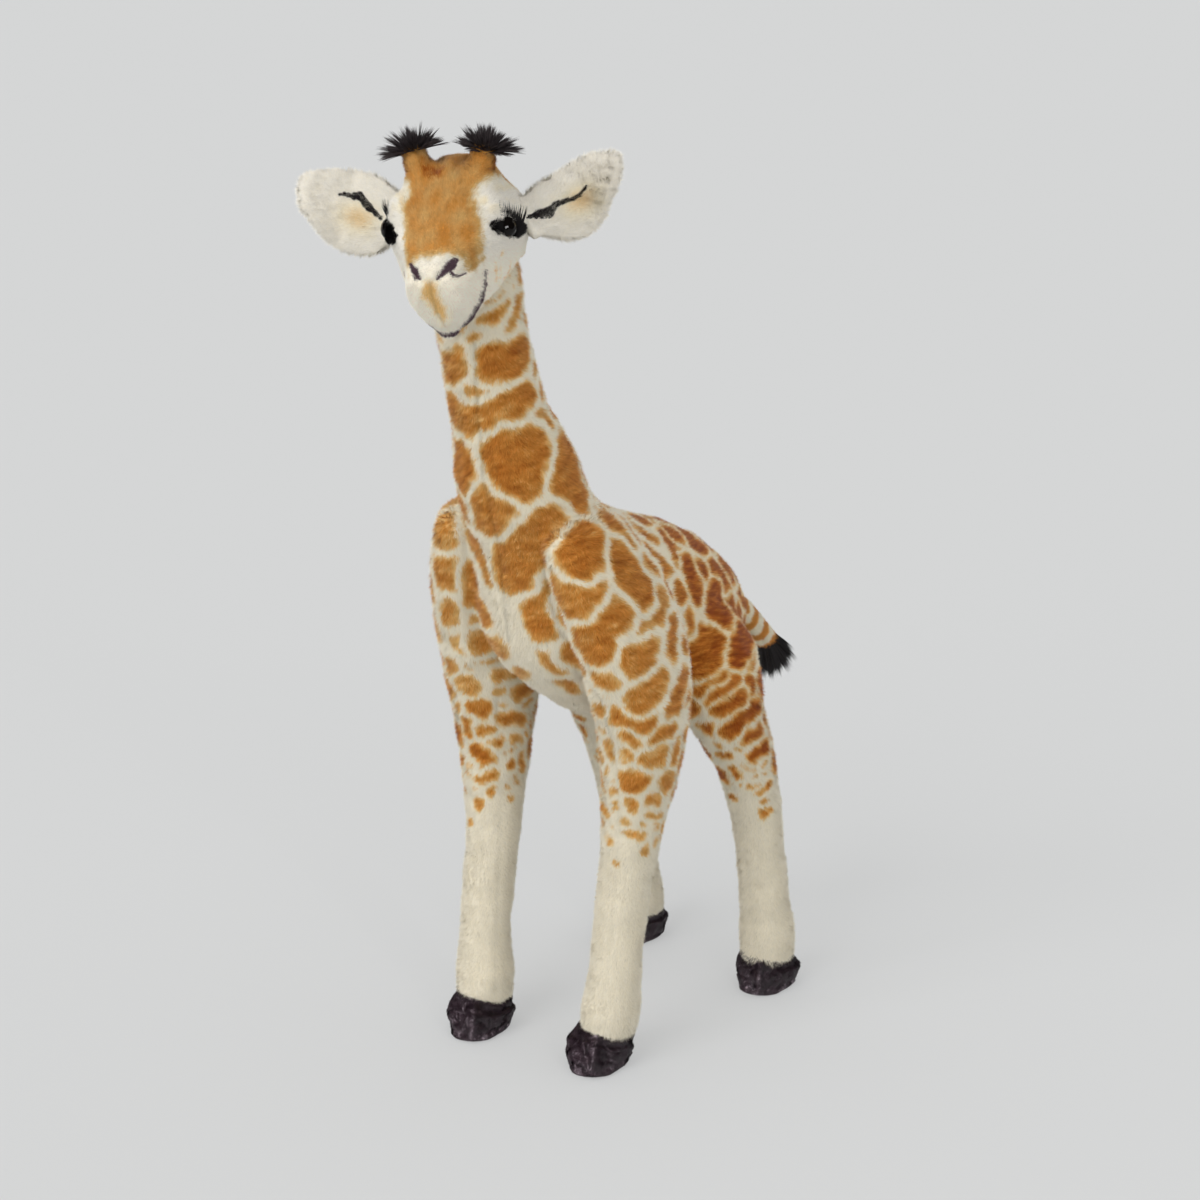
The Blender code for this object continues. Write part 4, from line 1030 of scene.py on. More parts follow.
def pile_zones(points):
    """The body's pile goes in several pieces; each gets a number."""
    _, y, z = points.T
    along = (points - np.array(NECK_SEAM)) @ np.array(NECK_AXIS)
    zone = np.where(y < 0.02, 0, 1)
    zone[z < 0.47] = np.where(y[z < 0.47] < 0.02, 2, 3)
    zone[(along > 0) & (z > 0.72)] = 4
    return zone


def build_body_pile(skin, head):
    """Pile over the body, in five pieces."""
    coat = bpy.context.scene.giraffe_coat
    points, normals = places_of(skin), normals_of(skin)
    hidden = covered(skin, [head], 0.035) * (in_head(points)[2] > 0.012)
    tone = BodyCoat(skin)
    # Pile is shorter on the lower legs and under the belly.
    length = coat.pile_length * (0.72 + 0.28 * step(points[:, 2], 0.2, 0.5)) * (1 - hidden)
    length[points[:, 2] < 0.055] *= 1.15
    length *= 1 - 0.5 * seam_painted_shade(points)
    comb = body_comb(points)
    draw = np.random.default_rng(3)
    tones, _ = tone(points, normals, draw)
    finish_skin(skin, tones, seam_painted_shade(points))
    names = ("pile_front", "pile_rear", "pile_front_legs", "pile_hind_legs", "pile_neck")
    made = []
    area = sum(face.area for face in skin.data.polygons)
    zones = pile_zones(points)
    count = int(area * 1e4 * coat.locks)
    for at, name in enumerate(names):
        locks = min(int(count * 1.05 * float((zones == at).mean())), 195000)
        piece = lay_pile(
            name, skin, comb, length, locks, 100 + at, tone, pile_material(),
            share=(zones == at).astype(float), spread=0.4,
        )
        made.append(piece)
    return made


def join_neck(obj):
    """A body piece stays loose, its place baked into its mesh."""
    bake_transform(obj)


# Head


def cut_jaw(obj):
    """Take off what hangs under the jaw line."""
    shape = bmesh.new()
    rows = []
    for left in (-0.13, 0.13):
        rows.append([shape.verts.new(from_head(left, forward * MM, up * MM)) for forward, up in JAW])
    shape.faces.new(rows[0])
    shape.faces.new(rows[1][::-1])
    for at in range(len(JAW)):
        after = (at + 1) % len(JAW)
        shape.faces.new((rows[0][at], rows[0][after], rows[1][after], rows[1][at]))
    bmesh.ops.recalc_face_normals(shape, faces=shape.faces)
    mesh = bpy.data.meshes.new("jaw_cutter")
    shape.to_mesh(mesh)
    shape.free()
    cutter = bpy.data.objects.new("jaw_cutter", mesh)
    bpy.context.scene.collection.objects.link(cutter)
    apply_modifier(obj, "jaw", "BOOLEAN", operation="DIFFERENCE", solver="EXACT", object=cutter)
    bpy.data.objects.remove(cutter)


def slimmed(points, normals):
    """The head's sides drawn in towards a narrow muzzle and crown, but not its cup for the neck."""
    left, forward, up = in_head(points)
    turn = np.array(HEAD.to_3x3())
    heights, amounts = np.array(SLIM, float).T * MM
    move = np.interp(up, heights, amounts) * step(np.abs(left), 0.018, 0.050)
    radius = np.hypot(left, forward)
    local = normals @ turn
    inwards = (local[:, 0] * left - local[:, 1] * forward) < 0
    move[(radius < 0.058) & (up < 0.060) & inwards] = 0
    room = np.maximum(radius - 0.0535, 0)
    near_cup = (up < 0.055) & (forward < 0.06)
    move = np.where(near_cup, np.minimum(move, room), move)
    return points - np.sign(left)[:, None] * move[:, None] * turn[:, 0]


def build_head():
    """Head skin with brows, cheeks and the sewn line of the mouth."""
    skin = solid_copy("coat_head", ("head",), 0.0012)
    cut_jaw(skin)
    horns = solid_copy("horns", ("horn_left", "horn_right"), 0.0012)
    select_only(skin, horns)
    bpy.ops.object.join()
    apply_modifier(skin, "cells", "REMESH", mode="VOXEL", voxel_size=0.004, use_smooth_shade=True)
    keep_largest(skin)
    points, normals = places_of(skin), normals_of(skin)
    place_all(skin, slimmed(points, normals))
    apply_modifier(skin, "soft", "SMOOTH", factor=0.5, iterations=7)
    points, normals = places_of(skin), normals_of(skin)
    for side in (-1, 1):
        brow = from_head(side * 0.058, 0.086, 0.095)
        gap = np.linalg.norm(points - brow, axis=1)
        points = points + normals * (0.0072 * np.exp(-((gap / 0.015) ** 2)))[:, None]
    left, forward, up = in_head(points)
    flat = np.stack([left, up], axis=1)
    front = step(forward, 0.05, 0.07)
    for strokes, depth, width in (
        ((MOUTH, flip(MOUTH)), 0.0030, 0.0045), (NOSTRILS, 0.0026, 0.004), ((PHILTRUM,), 0.0018, 0.004),
    ):
        for rows in strokes:
            gap = np.maximum(stroke_gap(flat, rows), 0)
            points = points - normals * (front * depth * np.exp(-((gap / width) ** 2)))[:, None]
    # The crown rises a little round each horn; the horns themselves are slimmer than their solids.
    for side in HORN_SEATS:
        axis, along, radius = by_horn(points, side)
        rise = 0.010 * np.clip(1 - (radius - 0.015) / 0.020, 0, 1) ** 2 * (radius > 0.015)
        rise = rise * (np.abs(along) < 0.03) * (1 - step(along, -0.006, 0.006))
        slim = 0.0042 * step(along, -0.014, 0.0) * (radius < 0.034) * step(radius, 0.010, 0.016)
        top = 0.004 * step(along, 0.012, 0.022) * (radius < 0.03)
        points = points + axis * (rise + top)[:, None] - normals * slim[:, None]
    depth = eye_depth(points)
    inward = 0.0024 - 0.0018 * step(depth, -0.006, 0.0)
    points = points - normals * inward[:, None]
    place_all(skin, points)
    return skin


def by_horn(points, side):
    """A horn's axis, and how far points are along it and out from it."""
    seat, way = HORN_SEATS[side]
    axis = unit(np.array(way)[None])[0]
    off = points - np.array(seat)
    along = off @ axis
    return axis, along, np.linalg.norm(off - along[:, None] * axis, axis=1)


def flip(rows):
    """A stroke on the other side of the face."""
    return tuple((-row[0], *row[1:]) for row in rows)


def eye_axes(side):
    """An eye's place, the way it faces, and its ways to the front and up."""
    place, facing = (np.array(row) for row in EYES[side])
    facing = unit(facing[None])[0]
    turn = np.array(HEAD.to_3x3())
    front = -turn[:, 1]
    front = unit((front - facing * (front @ facing))[None])[0]
    up = np.cross(front, facing)
    up = up * np.sign(up @ turn[:, 2])
    return place, facing, front, up


def eye_depth(points):
    """How deep points lie inside the dark almond round an eye, negative outside."""
    best = np.full(len(points), -1.0)
    for side in SIDES:
        place, facing, front, up = eye_axes(side)
        off = points - place
        ahead, above = off @ front, off @ up
        reach = np.where(ahead > 0, 0.025 if side == "left" else 0.044, 0.034)
        power = np.where((ahead > 0) & (side == "right"), 2.0, 1.1)
        above = above - (0.24 if side == "left" else 0.02) * ahead
        tall = np.where(above > 0, 0.0098, 0.0108)
        share = 1 - (np.abs(ahead) / reach) ** power - (np.abs(above) / tall) ** 1.4
        found = np.where(np.abs(off @ facing) < 0.045, share * 0.011, -1.0)
        best = np.maximum(best, found)
    return best


def face_marks(points):
    """How far points are from the nose's and mouth's dark strokes, negative inside."""
    left, forward, up = in_head(points)
    flat = np.stack([left, up], axis=1)
    gap = np.full(len(points), 1.0)
    for rows in (MOUTH, flip(MOUTH), *NOSTRILS):
        gap = np.minimum(gap, stroke_gap(flat, rows))
    gap[forward < 0.03] = 1.0
    return gap + 0.0003 * ripple(points, 0.005, 54)


def head_tone(roots, up_way, draw):
    """Tone and shade of the head's pile."""
    left, forward, up = in_head(roots)
    flat = np.stack([left, up], axis=1)
    total = len(roots)
    rough = 0.0016 * ripple(roots, 0.012, 51) + draw.normal(size=total) * 0.0013
    mask = polygon_depth(flat, np.array(MASK, float) * MM) + rough
    facing = step(forward, 0.005, 0.03)
    # The mask belongs to the front; behind it the crown's colour runs down to the neck.
    crown = (up - 0.118) + rough
    behind = 0.052 - np.abs(left) + rough
    crown_back = np.where(forward < 0.012, np.minimum(behind, up - 0.01), crown)
    depth = np.where(facing > 0.5, mask, np.maximum(crown_back, crown))
    soft = 0.002 + 0.004 * step(up, 0.06, 0.10) + 0.003 * step(-up, -0.055, -0.045) * (np.abs(left) < 0.034)
    share = step(depth / soft, -1.0, 1.0)
    deep = step(depth, 0.0, 0.012)
    low = step(-up, -0.075, -0.03)
    inner = 0.50 - 0.03 * low + 0.045 * ripple(roots, 0.028, 52) + 0.07 * step(-depth, -0.016, -0.004)
    muzzle = step(-up, -0.05, -0.02)
    brow = np.exp(-(((np.abs(left) - 0.055) / 0.016) ** 2) - ((up - 0.100) / 0.016) ** 2)
    base = 0.02 + 0.05 * muzzle + 0.03 * step(-forward, -0.03, 0.03)
    base = base + 0.16 * brow * step(ripple(roots, 0.020, 56), -0.6, 1.0)
    tone = base + (0.34 - base) * share + (inner - 0.34) * deep * share
    stripe = polygon_depth(flat, np.array(NOSE_STRIPE, float) * MM) + rough
    stripe = np.where(forward > 0.05, stripe, -1.0)
    tone = np.maximum(tone, base + (0.38 - base) * step(stripe, -0.006, 0.008))
    tone = tone + draw.normal(size=total) * 0.02
    places = np.stack([np.abs(left), forward, up], axis=1)
    for wide, deepest, one, other in CHEEK_STROKES:
        near = line_distance(places, np.array((one, other)) * MM) - wide * MM + rough * 0.4
        tone = np.maximum(tone, base + (deepest - base) * step(-near, -0.0016, 0.0008))
    # The right horn has a rust patch on its inner side.
    spot = np.linalg.norm((roots - np.array(HORN_SPOT)) * (1.0, 1.0, 0.8), axis=1) + rough
    tone = tone + (0.96 - tone) * step(-spot, -0.0165, -0.0125)
    # The tan mask and crown are painted darker: painted shade for their up-facing plush, which the key light
    # strikes, on top of their tan tone.
    shade = 0.62 - 0.32 * share + (0.02 + 0.05 * share) * ripple(roots, 0.010, 53)
    shade = shade + draw.normal(size=total) * 0.08
    # The white muzzle is painted lighter: painted light on its down-facing plush.
    shade = shade + 0.12 * muzzle * (1 - share)
    cleft = np.maximum(stroke_gap(flat, PHILTRUM), 0)
    shade = shade - 0.22 * np.exp(-((cleft / 0.0014) ** 2)) * (forward > 0.05)
    return tone, shade


def head_comb(points):
    """Brushed back from the nose, and down on the cheeks."""
    left, _, up = in_head(points)
    turn = np.array(HEAD.to_3x3())
    local = np.stack([left * 5.0, np.full(len(points), 0.7), np.where(up > 0.05, 0.6, -0.4)], axis=1)
    side = step(np.abs(left), 0.03, 0.06)[:, None]
    down = np.tile((0.0, 0.8, -0.6), (len(points), 1))
    down[:, 0] = np.sign(left) * 0.2
    local = local * (1 - side) + down * side
    comb = unit(unit(local) @ turn.T)
    for horn in HORN_SEATS:
        axis, along, radius = by_horn(points, horn)
        near = (step(along, -0.012, 0.004) * (radius < 0.034))[:, None]
        comb = comb * (1 - near) + axis * near
    return unit(comb)


def build_head_pile(skin):
    """Pile over the head, the dark locks of nose and mouth, and the almonds round the eyes."""
    coat = bpy.context.scene.giraffe_coat
    points, normals = places_of(skin), normals_of(skin)
    left, forward, up = in_head(points)
    length = np.full(len(points), coat.pile_length * 0.62)
    length *= 1 - 0.35 * step(forward, 0.09, 0.13)
    # Inside the cup that takes the neck there is no pile.
    inside = covered(skin, [skin], 0.10) * (up < 0.03) * (forward < 0.075) * (np.abs(left) < 0.065)
    length *= 1 - inside
    comb = head_comb(points)
    draw = np.random.default_rng(8)
    tones, _ = head_tone(points, normals, draw)
    marks = face_marks(points)
    depth = eye_depth(points)
    finish_skin(skin, tones, mark=np.maximum(np.clip(1 - marks / 0.002, 0, 1), step(depth, -0.001, 0.001)))
    area = sum(face.area for face in skin.data.polygons)
    count = int(area * 1e4 * coat.locks * 2.2)
    pile = lay_pile(
        "pile_head", skin, comb, length, min(count, 195000), 200, head_tone, pile_material(),
        pick=lambda roots: (face_marks(roots) > -0.0004 * ripple(roots, 0.002, 57)) & (eye_depth(roots) < 0),
        width=0.72, spread=0.45,
    )
    coat_plum = dark_pile_material("nose_pile", coat.plum, 0.75)
    lines = lay_pile(
        "pile_nose_lines", skin, comb, length * 0.7, 90000, 201,
        lambda roots, way, pull: (np.full(len(roots), 0.5), 0.42 + pull.normal(size=len(roots)) * 0.18),
        coat_plum, pick=lambda roots: face_marks(roots) < 0.0002 + 0.0005 * ripple(roots, 0.0025, 58),
        width=0.72, spread=0.9, lift=0.6,
        share=(marks < 0.0045).astype(float),
    )
    # Black pile fills the almond round each eye; it leans away from the eye, but over its edge near it.
    centre = np.array([eye_axes(side)[0] for side in SIDES])
    off = points[:, None] - centre[None]
    closest = np.linalg.norm(off, axis=2).argmin(axis=1)
    off = off[np.arange(len(points)), closest]
    away = unit(off) * np.where(np.linalg.norm(off, axis=1) < 0.0145, -1.0, 1.0)[:, None]
    eyes = lay_pile(
        "pile_eyes", skin, away, np.full(len(points), 0.0062), 60000, 202,
        lambda roots, way, pull: (np.full(len(roots), 0.5), 0.30 + pull.normal(size=len(roots)) * 0.14),
        dark_pile_material("ear_line_pile", coat.black, 0.8), width=0.8, spread=0.7, lift=0.62,
        pick=lambda roots: eye_depth(roots) + 0.0012 * ripple(roots, 0.006, 55) > -0.0004,
        share=(depth > -0.006).astype(float),
    )
    return pile, lines, eyes


# Ears


EARS = {
    "left": (joint_frame((-0.454, 0.865, -0.212), (0.730, 0.498, 0.468), (0.0718, -0.2394, 1.0965)), -1),
    "right": (joint_frame((0.588, -0.780, 0.214), (-0.806, -0.540, 0.243), (-0.0653, -0.2947, 1.0887)), 1),
}
# Printed strokes of the inner ear: (across, out, half width) from the root, in millimetres.
EAR_STROKES = {
    "left": (
        ((1, 75, 0.3), (-3, 58, 0.9), (-1, 44, 1.2), (-2, 30, 2.2), (-6, 21, 5.4), (-3, 12, 3.6), (-1, 2, 0.8)),
    ),
    "right": (
        ((9, 83, 0.5), (10, 69, 1.6), (12, 58, 3.6), (7, 50, 3.2), (2, 44, 3.2), (-2, 34, 1.6), (-6, 26, 0.7)),
    ),
}
EAR_GLOWS = {"left": (-9, 64), "right": (-12, 56)}
# How much of its solid's reach each ear keeps, at every 20 degrees round its middle.
EAR_SHAPES = {
    "left": (84, 98, 100, 100, 100, 100, 96, 95, 90, 89, 93, 94, 99, 100, 80, 72, 72, 76, 84),
    "right": (100, 109, 114, 104, 100, 100, 100, 104, 111, 113, 109, 101, 102, 107, 100, 95, 93, 94, 100),
}


def in_ear(points, side):
    """Points in an ear's frame: off its face, across, and out from the root."""
    place, face = EARS[side]
    turn = np.array(place.to_3x3())
    local = (points - np.array(place.translation)) @ turn
    # The frame's second axis runs across the ear.
    return local[:, 0] * face, local[:, 1], local[:, 2]


def ear_tone(side):
    """Tone and shade of one ear's pile."""

    def tone(roots, way, draw):
        place, face = EARS[side]
        _, across, out = in_ear(roots, side)
        turn = np.array(place.to_3x3())
        front = (way @ turn[:, 0]) * face > 0.15
        centre = np.array(EAR_GLOWS[side]) * MM
        glow = np.exp(-((across - centre[0]) / 0.018) ** 2 - ((out - centre[1]) / 0.024) ** 2)
        base = 0.04 + 0.24 * glow * front + 0.008 * ripple(roots, 0.02, 61)
        shade = 0.48 + 0.015 * ripple(roots, 0.012, 62) + draw.normal(size=len(roots)) * 0.05
        return base + draw.normal(size=len(roots)) * 0.025, shade

    return tone


def ear_line_gap(points, normals, side):
    """Distance from an ear's printed lines on its front face."""
    place, face = EARS[side]
    _, across, out = in_ear(points, side)
    flat = np.stack([across, out], axis=1)
    gap = np.full(len(points), 1.0)
    for rows in EAR_STROKES[side]:
        gap = np.minimum(gap, stroke_gap(flat, rows))
    gap = gap + 0.0006 * ripple(points, 0.006, 63) + 0.0005 * ripple(points, 0.0022, 64)
    if normals is not None:
        turn = np.array(place.to_3x3())
        gap = np.where((normals @ turn[:, 0]) * face > 0.1, gap, 1.0)
    return gap


def build_ear(side):
    """One ear: skin, pile and printed lines."""
    coat = bpy.context.scene.giraffe_coat
    skin = skin_from("coat_ear_" + side, ("ear_" + side,), 0.003, 2, grow=0.0)
    place, face = EARS[side]
    turn = np.array(place.to_3x3())
    points, normals = places_of(skin), normals_of(skin)
    points = points - normals * 0.0006
    _, across, out = in_ear(points, side)
    angle = np.degrees(np.arctan2(out - 0.055, across))
    keep = np.interp(angle, np.arange(-180, 181, 20), np.array(EAR_SHAPES[side]) / 100) - 1
    keep = keep * step(out, 0.006, 0.030)
    points = points + (across * keep)[:, None] * turn[:, 1] + ((out - 0.055) * keep)[:, None] * turn[:, 2]
    place_all(skin, points)
    points, normals = places_of(skin), normals_of(skin)
    _, across, out = in_ear(points, side)
    front = (normals @ turn[:, 0]) * face
    length = np.full(len(points), coat.pile_length * 0.66) + 0.0035 * (np.abs(front) < 0.5)
    length *= step(out, 0.004, 0.012) * 0.8 + 0.2
    # Pile runs out to the tip and away from the middle, and behind the ear back to the root.
    local = np.stack([np.zeros(len(points)), across * 14, np.full(len(points), 0.9)], axis=1)
    local[:, 1:] *= (1 - 1.9 * step(-front, 0.35, 0.7))[:, None]
    comb = unit(unit(local) @ turn.T)
    marks = ear_line_gap(points, normals, side)
    tone = ear_tone(side)
    draw = np.random.default_rng(9)
    tones, _ = tone(points, normals, draw)
    finish_skin(skin, tones, mark=np.clip(0.6 - marks / 0.0016, 0, 1))
    rim = 1 + 2.5 * np.exp(-((front / 0.45) ** 2))
    pile = lay_pile(
        "pile_ear_" + side, skin, comb, length, 60000, 300, tone, pile_material(), width=0.8, spread=0.4,
        share=rim,
        toward=(2.6 * step(front, -0.9, -0.5) * (1 - step(front, 0.5, 0.95)))[:, None] * (turn[:, 0] * face),
    )
    black = dark_pile_material("ear_line_pile", coat.black, 0.8)
    lines = lay_pile(
        "pile_ear_lines_" + side, skin, comb, length * 0.95, 60000, 301,
        lambda roots, way, pull: (np.full(len(roots), 0.5), 0.4 + pull.normal(size=len(roots)) * 0.15),
        black, pick=lambda roots: ear_line_gap(roots, None, side) < 0.0002, width=0.8, spread=0.25,
        share=(marks < 0.005).astype(float), lift=0.6,
    )
    return skin, pile, lines


# Horns, tail, tufts


def shaft_skin(name, node, cell, inset):
    """A small soft shaft over one solid."""
    skin = skin_from(name, (node,), cell, 2, grow=0.0)
    points, normals = places_of(skin), normals_of(skin)
    place_all(skin, points - normals * inset)
    return skin


def tail_tone(roots, way, draw):
    """Rings of tan and cream round the tail."""
    along = (roots - TAIL_ROOT) @ TAIL_WAY
    wave = np.sin(2 * math.pi * (along / 0.034) + 0.6 * ripple(roots, 0.02, 81))
    share = step(wave, -0.35, 0.35)
    tone = 0.16 + 0.5 * share + draw.normal(size=len(roots)) * 0.03
    shade = 0.5 + draw.normal(size=len(roots)) * 0.1
    return tone, shade


def spread_ways(total, way, cone, draw):
    """Ways spread evenly in a cone about one way, and their share of the cone."""
    axis = unit(np.array(way)[None])[0]
    one = unit(np.cross(axis, (0.3, 0.9, 0.1))[None])[0]
    other = np.cross(axis, one)
    out = np.sqrt((np.arange(total) + 0.5) / total)
    turn = np.arange(total) * math.pi * (3 - math.sqrt(5)) + draw.normal(size=total) * 0.2
    angle = out * cone
    ring = one[None] * np.cos(turn)[:, None] + other[None] * np.sin(turn)[:, None]
    return axis[None] * np.cos(angle)[:, None] + ring * np.sin(angle)[:, None], ring, out


def hair_tuft(name, seat, way, cone, root_radius, length, total, width, drop, seed, material, bright=0.16,
              spikes=75, blunt=0.0):
    """A brush of long hair: tapered strips that start on a disc and fan out."""
    draw = np.random.default_rng(seed)
    # Hairs gather in spikes: each takes the way and length of the spike nearest to it.
    tips, _, tip_out = spread_ways(spikes, way, cone, draw)
    tips = unit(tips + draw.normal(size=tips.shape) * 0.09)
    reach = length * draw.uniform(0.58 + 0.42 * blunt, 1.14 - 0.08 * blunt, spikes) * (1 - 0.14 * tip_out**2)
    ways, ring, out = spread_ways(total, way, cone, draw)
    ways = unit(ways + draw.normal(size=(total, 3)) * 0.08)
    nearest = (ways @ tips.T).argmax(axis=1)
    ways = unit(ways * 0.30 + tips[nearest] * 0.70 + draw.normal(size=(total, 3)) * 0.02)
    roots = np.array(seat)[None] + ring * (out * root_radius)[:, None]
    lengths = reach[nearest] * draw.uniform(0.74, 1.04, total)
    side = unit(np.cross(ways, ring + draw.normal(size=(total, 3)) * 0.4))
    segments = 4
    per = 2 * segments + 1
    rows = []
    for at in range(segments):
        along = at / segments
        bend = np.array(drop)[None] * along**2
        centre = roots + (ways * along + bend) * lengths[:, None]
        taper = width / 2 * (1 - 0.5 * along)
        rows += [centre - side * taper, centre + side * taper]
    rows.append(roots + (ways + np.array(drop)[None]) * lengths[:, None])
    flat = np.stack(rows, axis=1).reshape(-1, 3)
    faces = []
    for at in range(segments - 1):
        low = 2 * at
        faces += [(low, low + 1, low + 3), (low, low + 3, low + 2)]
    faces.append((per - 3, per - 2, per - 1))
    tris = (np.arange(total)[:, None, None] * per + np.array(faces)[None]).reshape(-1, 3)
    made = bpy.data.meshes.new(name)
    made.from_pydata(flat.tolist(), [], tris.tolist())
    uv = made.uv_layers.new(name="OFBake")
    corner = tris.ravel()
    heights = np.array([at // 2 / segments for at in range(per - 1)] + [1.0])
    shade = (bright + draw.uniform(0, 0.40, total)[:, None] + heights[None] * 0.25).ravel()
    places = np.stack([np.full(len(corner), 0.5), np.clip(shade[corner], 0.001, 0.999)], axis=1)
    uv.data.foreach_set("uv", places.astype(np.float32).ravel())
    normal = made.attributes.new("custom_normal", "FLOAT_VECTOR", "POINT")
    soft = unit(ring * 0.8 + ways * 0.5 + draw.normal(size=(total, 3)) * 0.25)
    normal.data.foreach_set("vector", np.repeat(soft, per, axis=0).astype(np.float32).ravel())
    made.materials.append(material)
    obj = bpy.data.objects.new(name, made)
    bpy.context.scene.collection.objects.link(obj)
    return obj


def build_brush(side):
    """The black brush on one horn."""
    coat = bpy.context.scene.giraffe_coat
    seat, way = HORN_SEATS[side]
    top = np.array(seat) + np.array(way) * 0.023 + np.array((-0.002, 0.005, 0.0))
    return hair_tuft(
        "hair_horn_" + side, top, way, 1.42, 0.013, 0.036, 2600, 0.0009, (0, 0, -0.10),
        410 + len(side), dark_pile_material("brush_hair", coat.charcoal, 0.6), bright=0.34, spikes=105,
    )


def build_tail():
    """The tail's ringed shaft and its black brush."""
    coat = bpy.context.scene.giraffe_coat
    skin = shaft_skin("coat_tail", "tail", 0.0025, 0.0016)
    points, normals = places_of(skin), normals_of(skin)
    draw = np.random.default_rng(13)
    tones, _ = tail_tone(points, normals, draw)
    finish_skin(skin, tones, np.zeros(len(points)))
    comb = np.tile(TAIL_WAY, (len(points), 1))
    along = (points - TAIL_ROOT) @ TAIL_WAY
    length = np.full(len(points), coat.pile_length * 0.75) * step(along, -0.002, 0.012)
    pile = lay_pile(
        "pile_tail", skin, comb, length, 26000, 500, tail_tone, pile_material(), width=0.8, spread=0.4
    )
    black = dark_pile_material("tuft_hair", coat.black, 0.6)
    tuft = hair_tuft(
        "hair_tail", TUFT_SEAT - TUFT_WAY * 0.006, TUFT_WAY, 0.36, 0.0125, 0.060, 2600, 0.0012,
        (0, -0.02, -0.08),
        510, black, blunt=0.7,
    )
    return skin, pile, tuft


# Eyes


def build_lashes(side):
    """Upper lashes: tapered hairs that fan up from the almond's rear upper edge."""
    coat = bpy.context.scene.giraffe_coat
    place, facing, front, up = eye_axes(side)
    draw = np.random.default_rng(21)
    total, segments = 64, 5
    verts, faces = [], []
    for at in range(total):
        along = 0.004 - 0.030 * (at + draw.uniform(-0.5, 0.5)) / total
        above = 0.0105 * (1 - abs(along) / 0.036) + (0.24 if side == "left" else 0.02) * along
        root = place + front * along + up * above - facing * (0.002 + 7 * along**2)
        fan = along / 0.036 * 0.9
        way = unit((up + front * fan + facing * draw.uniform(0.45, 0.9) + draw.normal(size=3) * 0.12)[None])[0]
        size = (0.0175 if side == "left" else 0.0215) * draw.uniform(0.55, 1.1)
        across = unit(np.cross(way, facing)[None])[0]
        base = len(verts)
        for level in range(segments):
            share = level / segments
            centre = root + way * size * share + up * size * 0.25 * share**2
            wide = 0.0010 * (1 - share)
            verts += [centre - across * wide, centre + across * wide, centre + facing * wide]
        verts.append(root + way * size + up * size * 0.25)
        for level in range(segments - 1):
            low = base + 3 * level
            for one, other in ((0, 1), (1, 2), (2, 0)):
                faces.append((low + one, low + other, low + 3 + other, low + 3 + one))
        low, tip = base + 3 * (segments - 1), len(verts) - 1
        faces += [(low, low + 1, tip), (low + 1, low + 2, tip), (low + 2, low, tip)]
    mesh = bpy.data.meshes.new("hair_lashes_" + side)
    mesh.from_pydata([tuple(row) for row in verts], [], faces)
    uv = mesh.uv_layers.new(name="OFBake")
    uv.data.foreach_set("uv", np.full(len(mesh.loops) * 2, 0.3, np.float32))
    mesh.materials.append(dark_pile_material("lash_hair", coat.black, 0.5))
    obj = bpy.data.objects.new("hair_lashes_" + side, mesh)
    bpy.context.scene.collection.objects.link(obj)
    shape = bmesh.new()
    shape.from_mesh(mesh)
    bmesh.ops.recalc_face_normals(shape, faces=shape.faces)
    shape.to_mesh(mesh)
    shape.free()
    return obj


# Hooves


HOOVES = ("front_hoof_left", "front_hoof_right", "hind_hoof_left", "hind_hoof_right")
# How far each toe's seam turns to the toy's left, in degrees.
TOE_TURNS = dict(zip(HOOVES, (30, 28, 22, 12)))


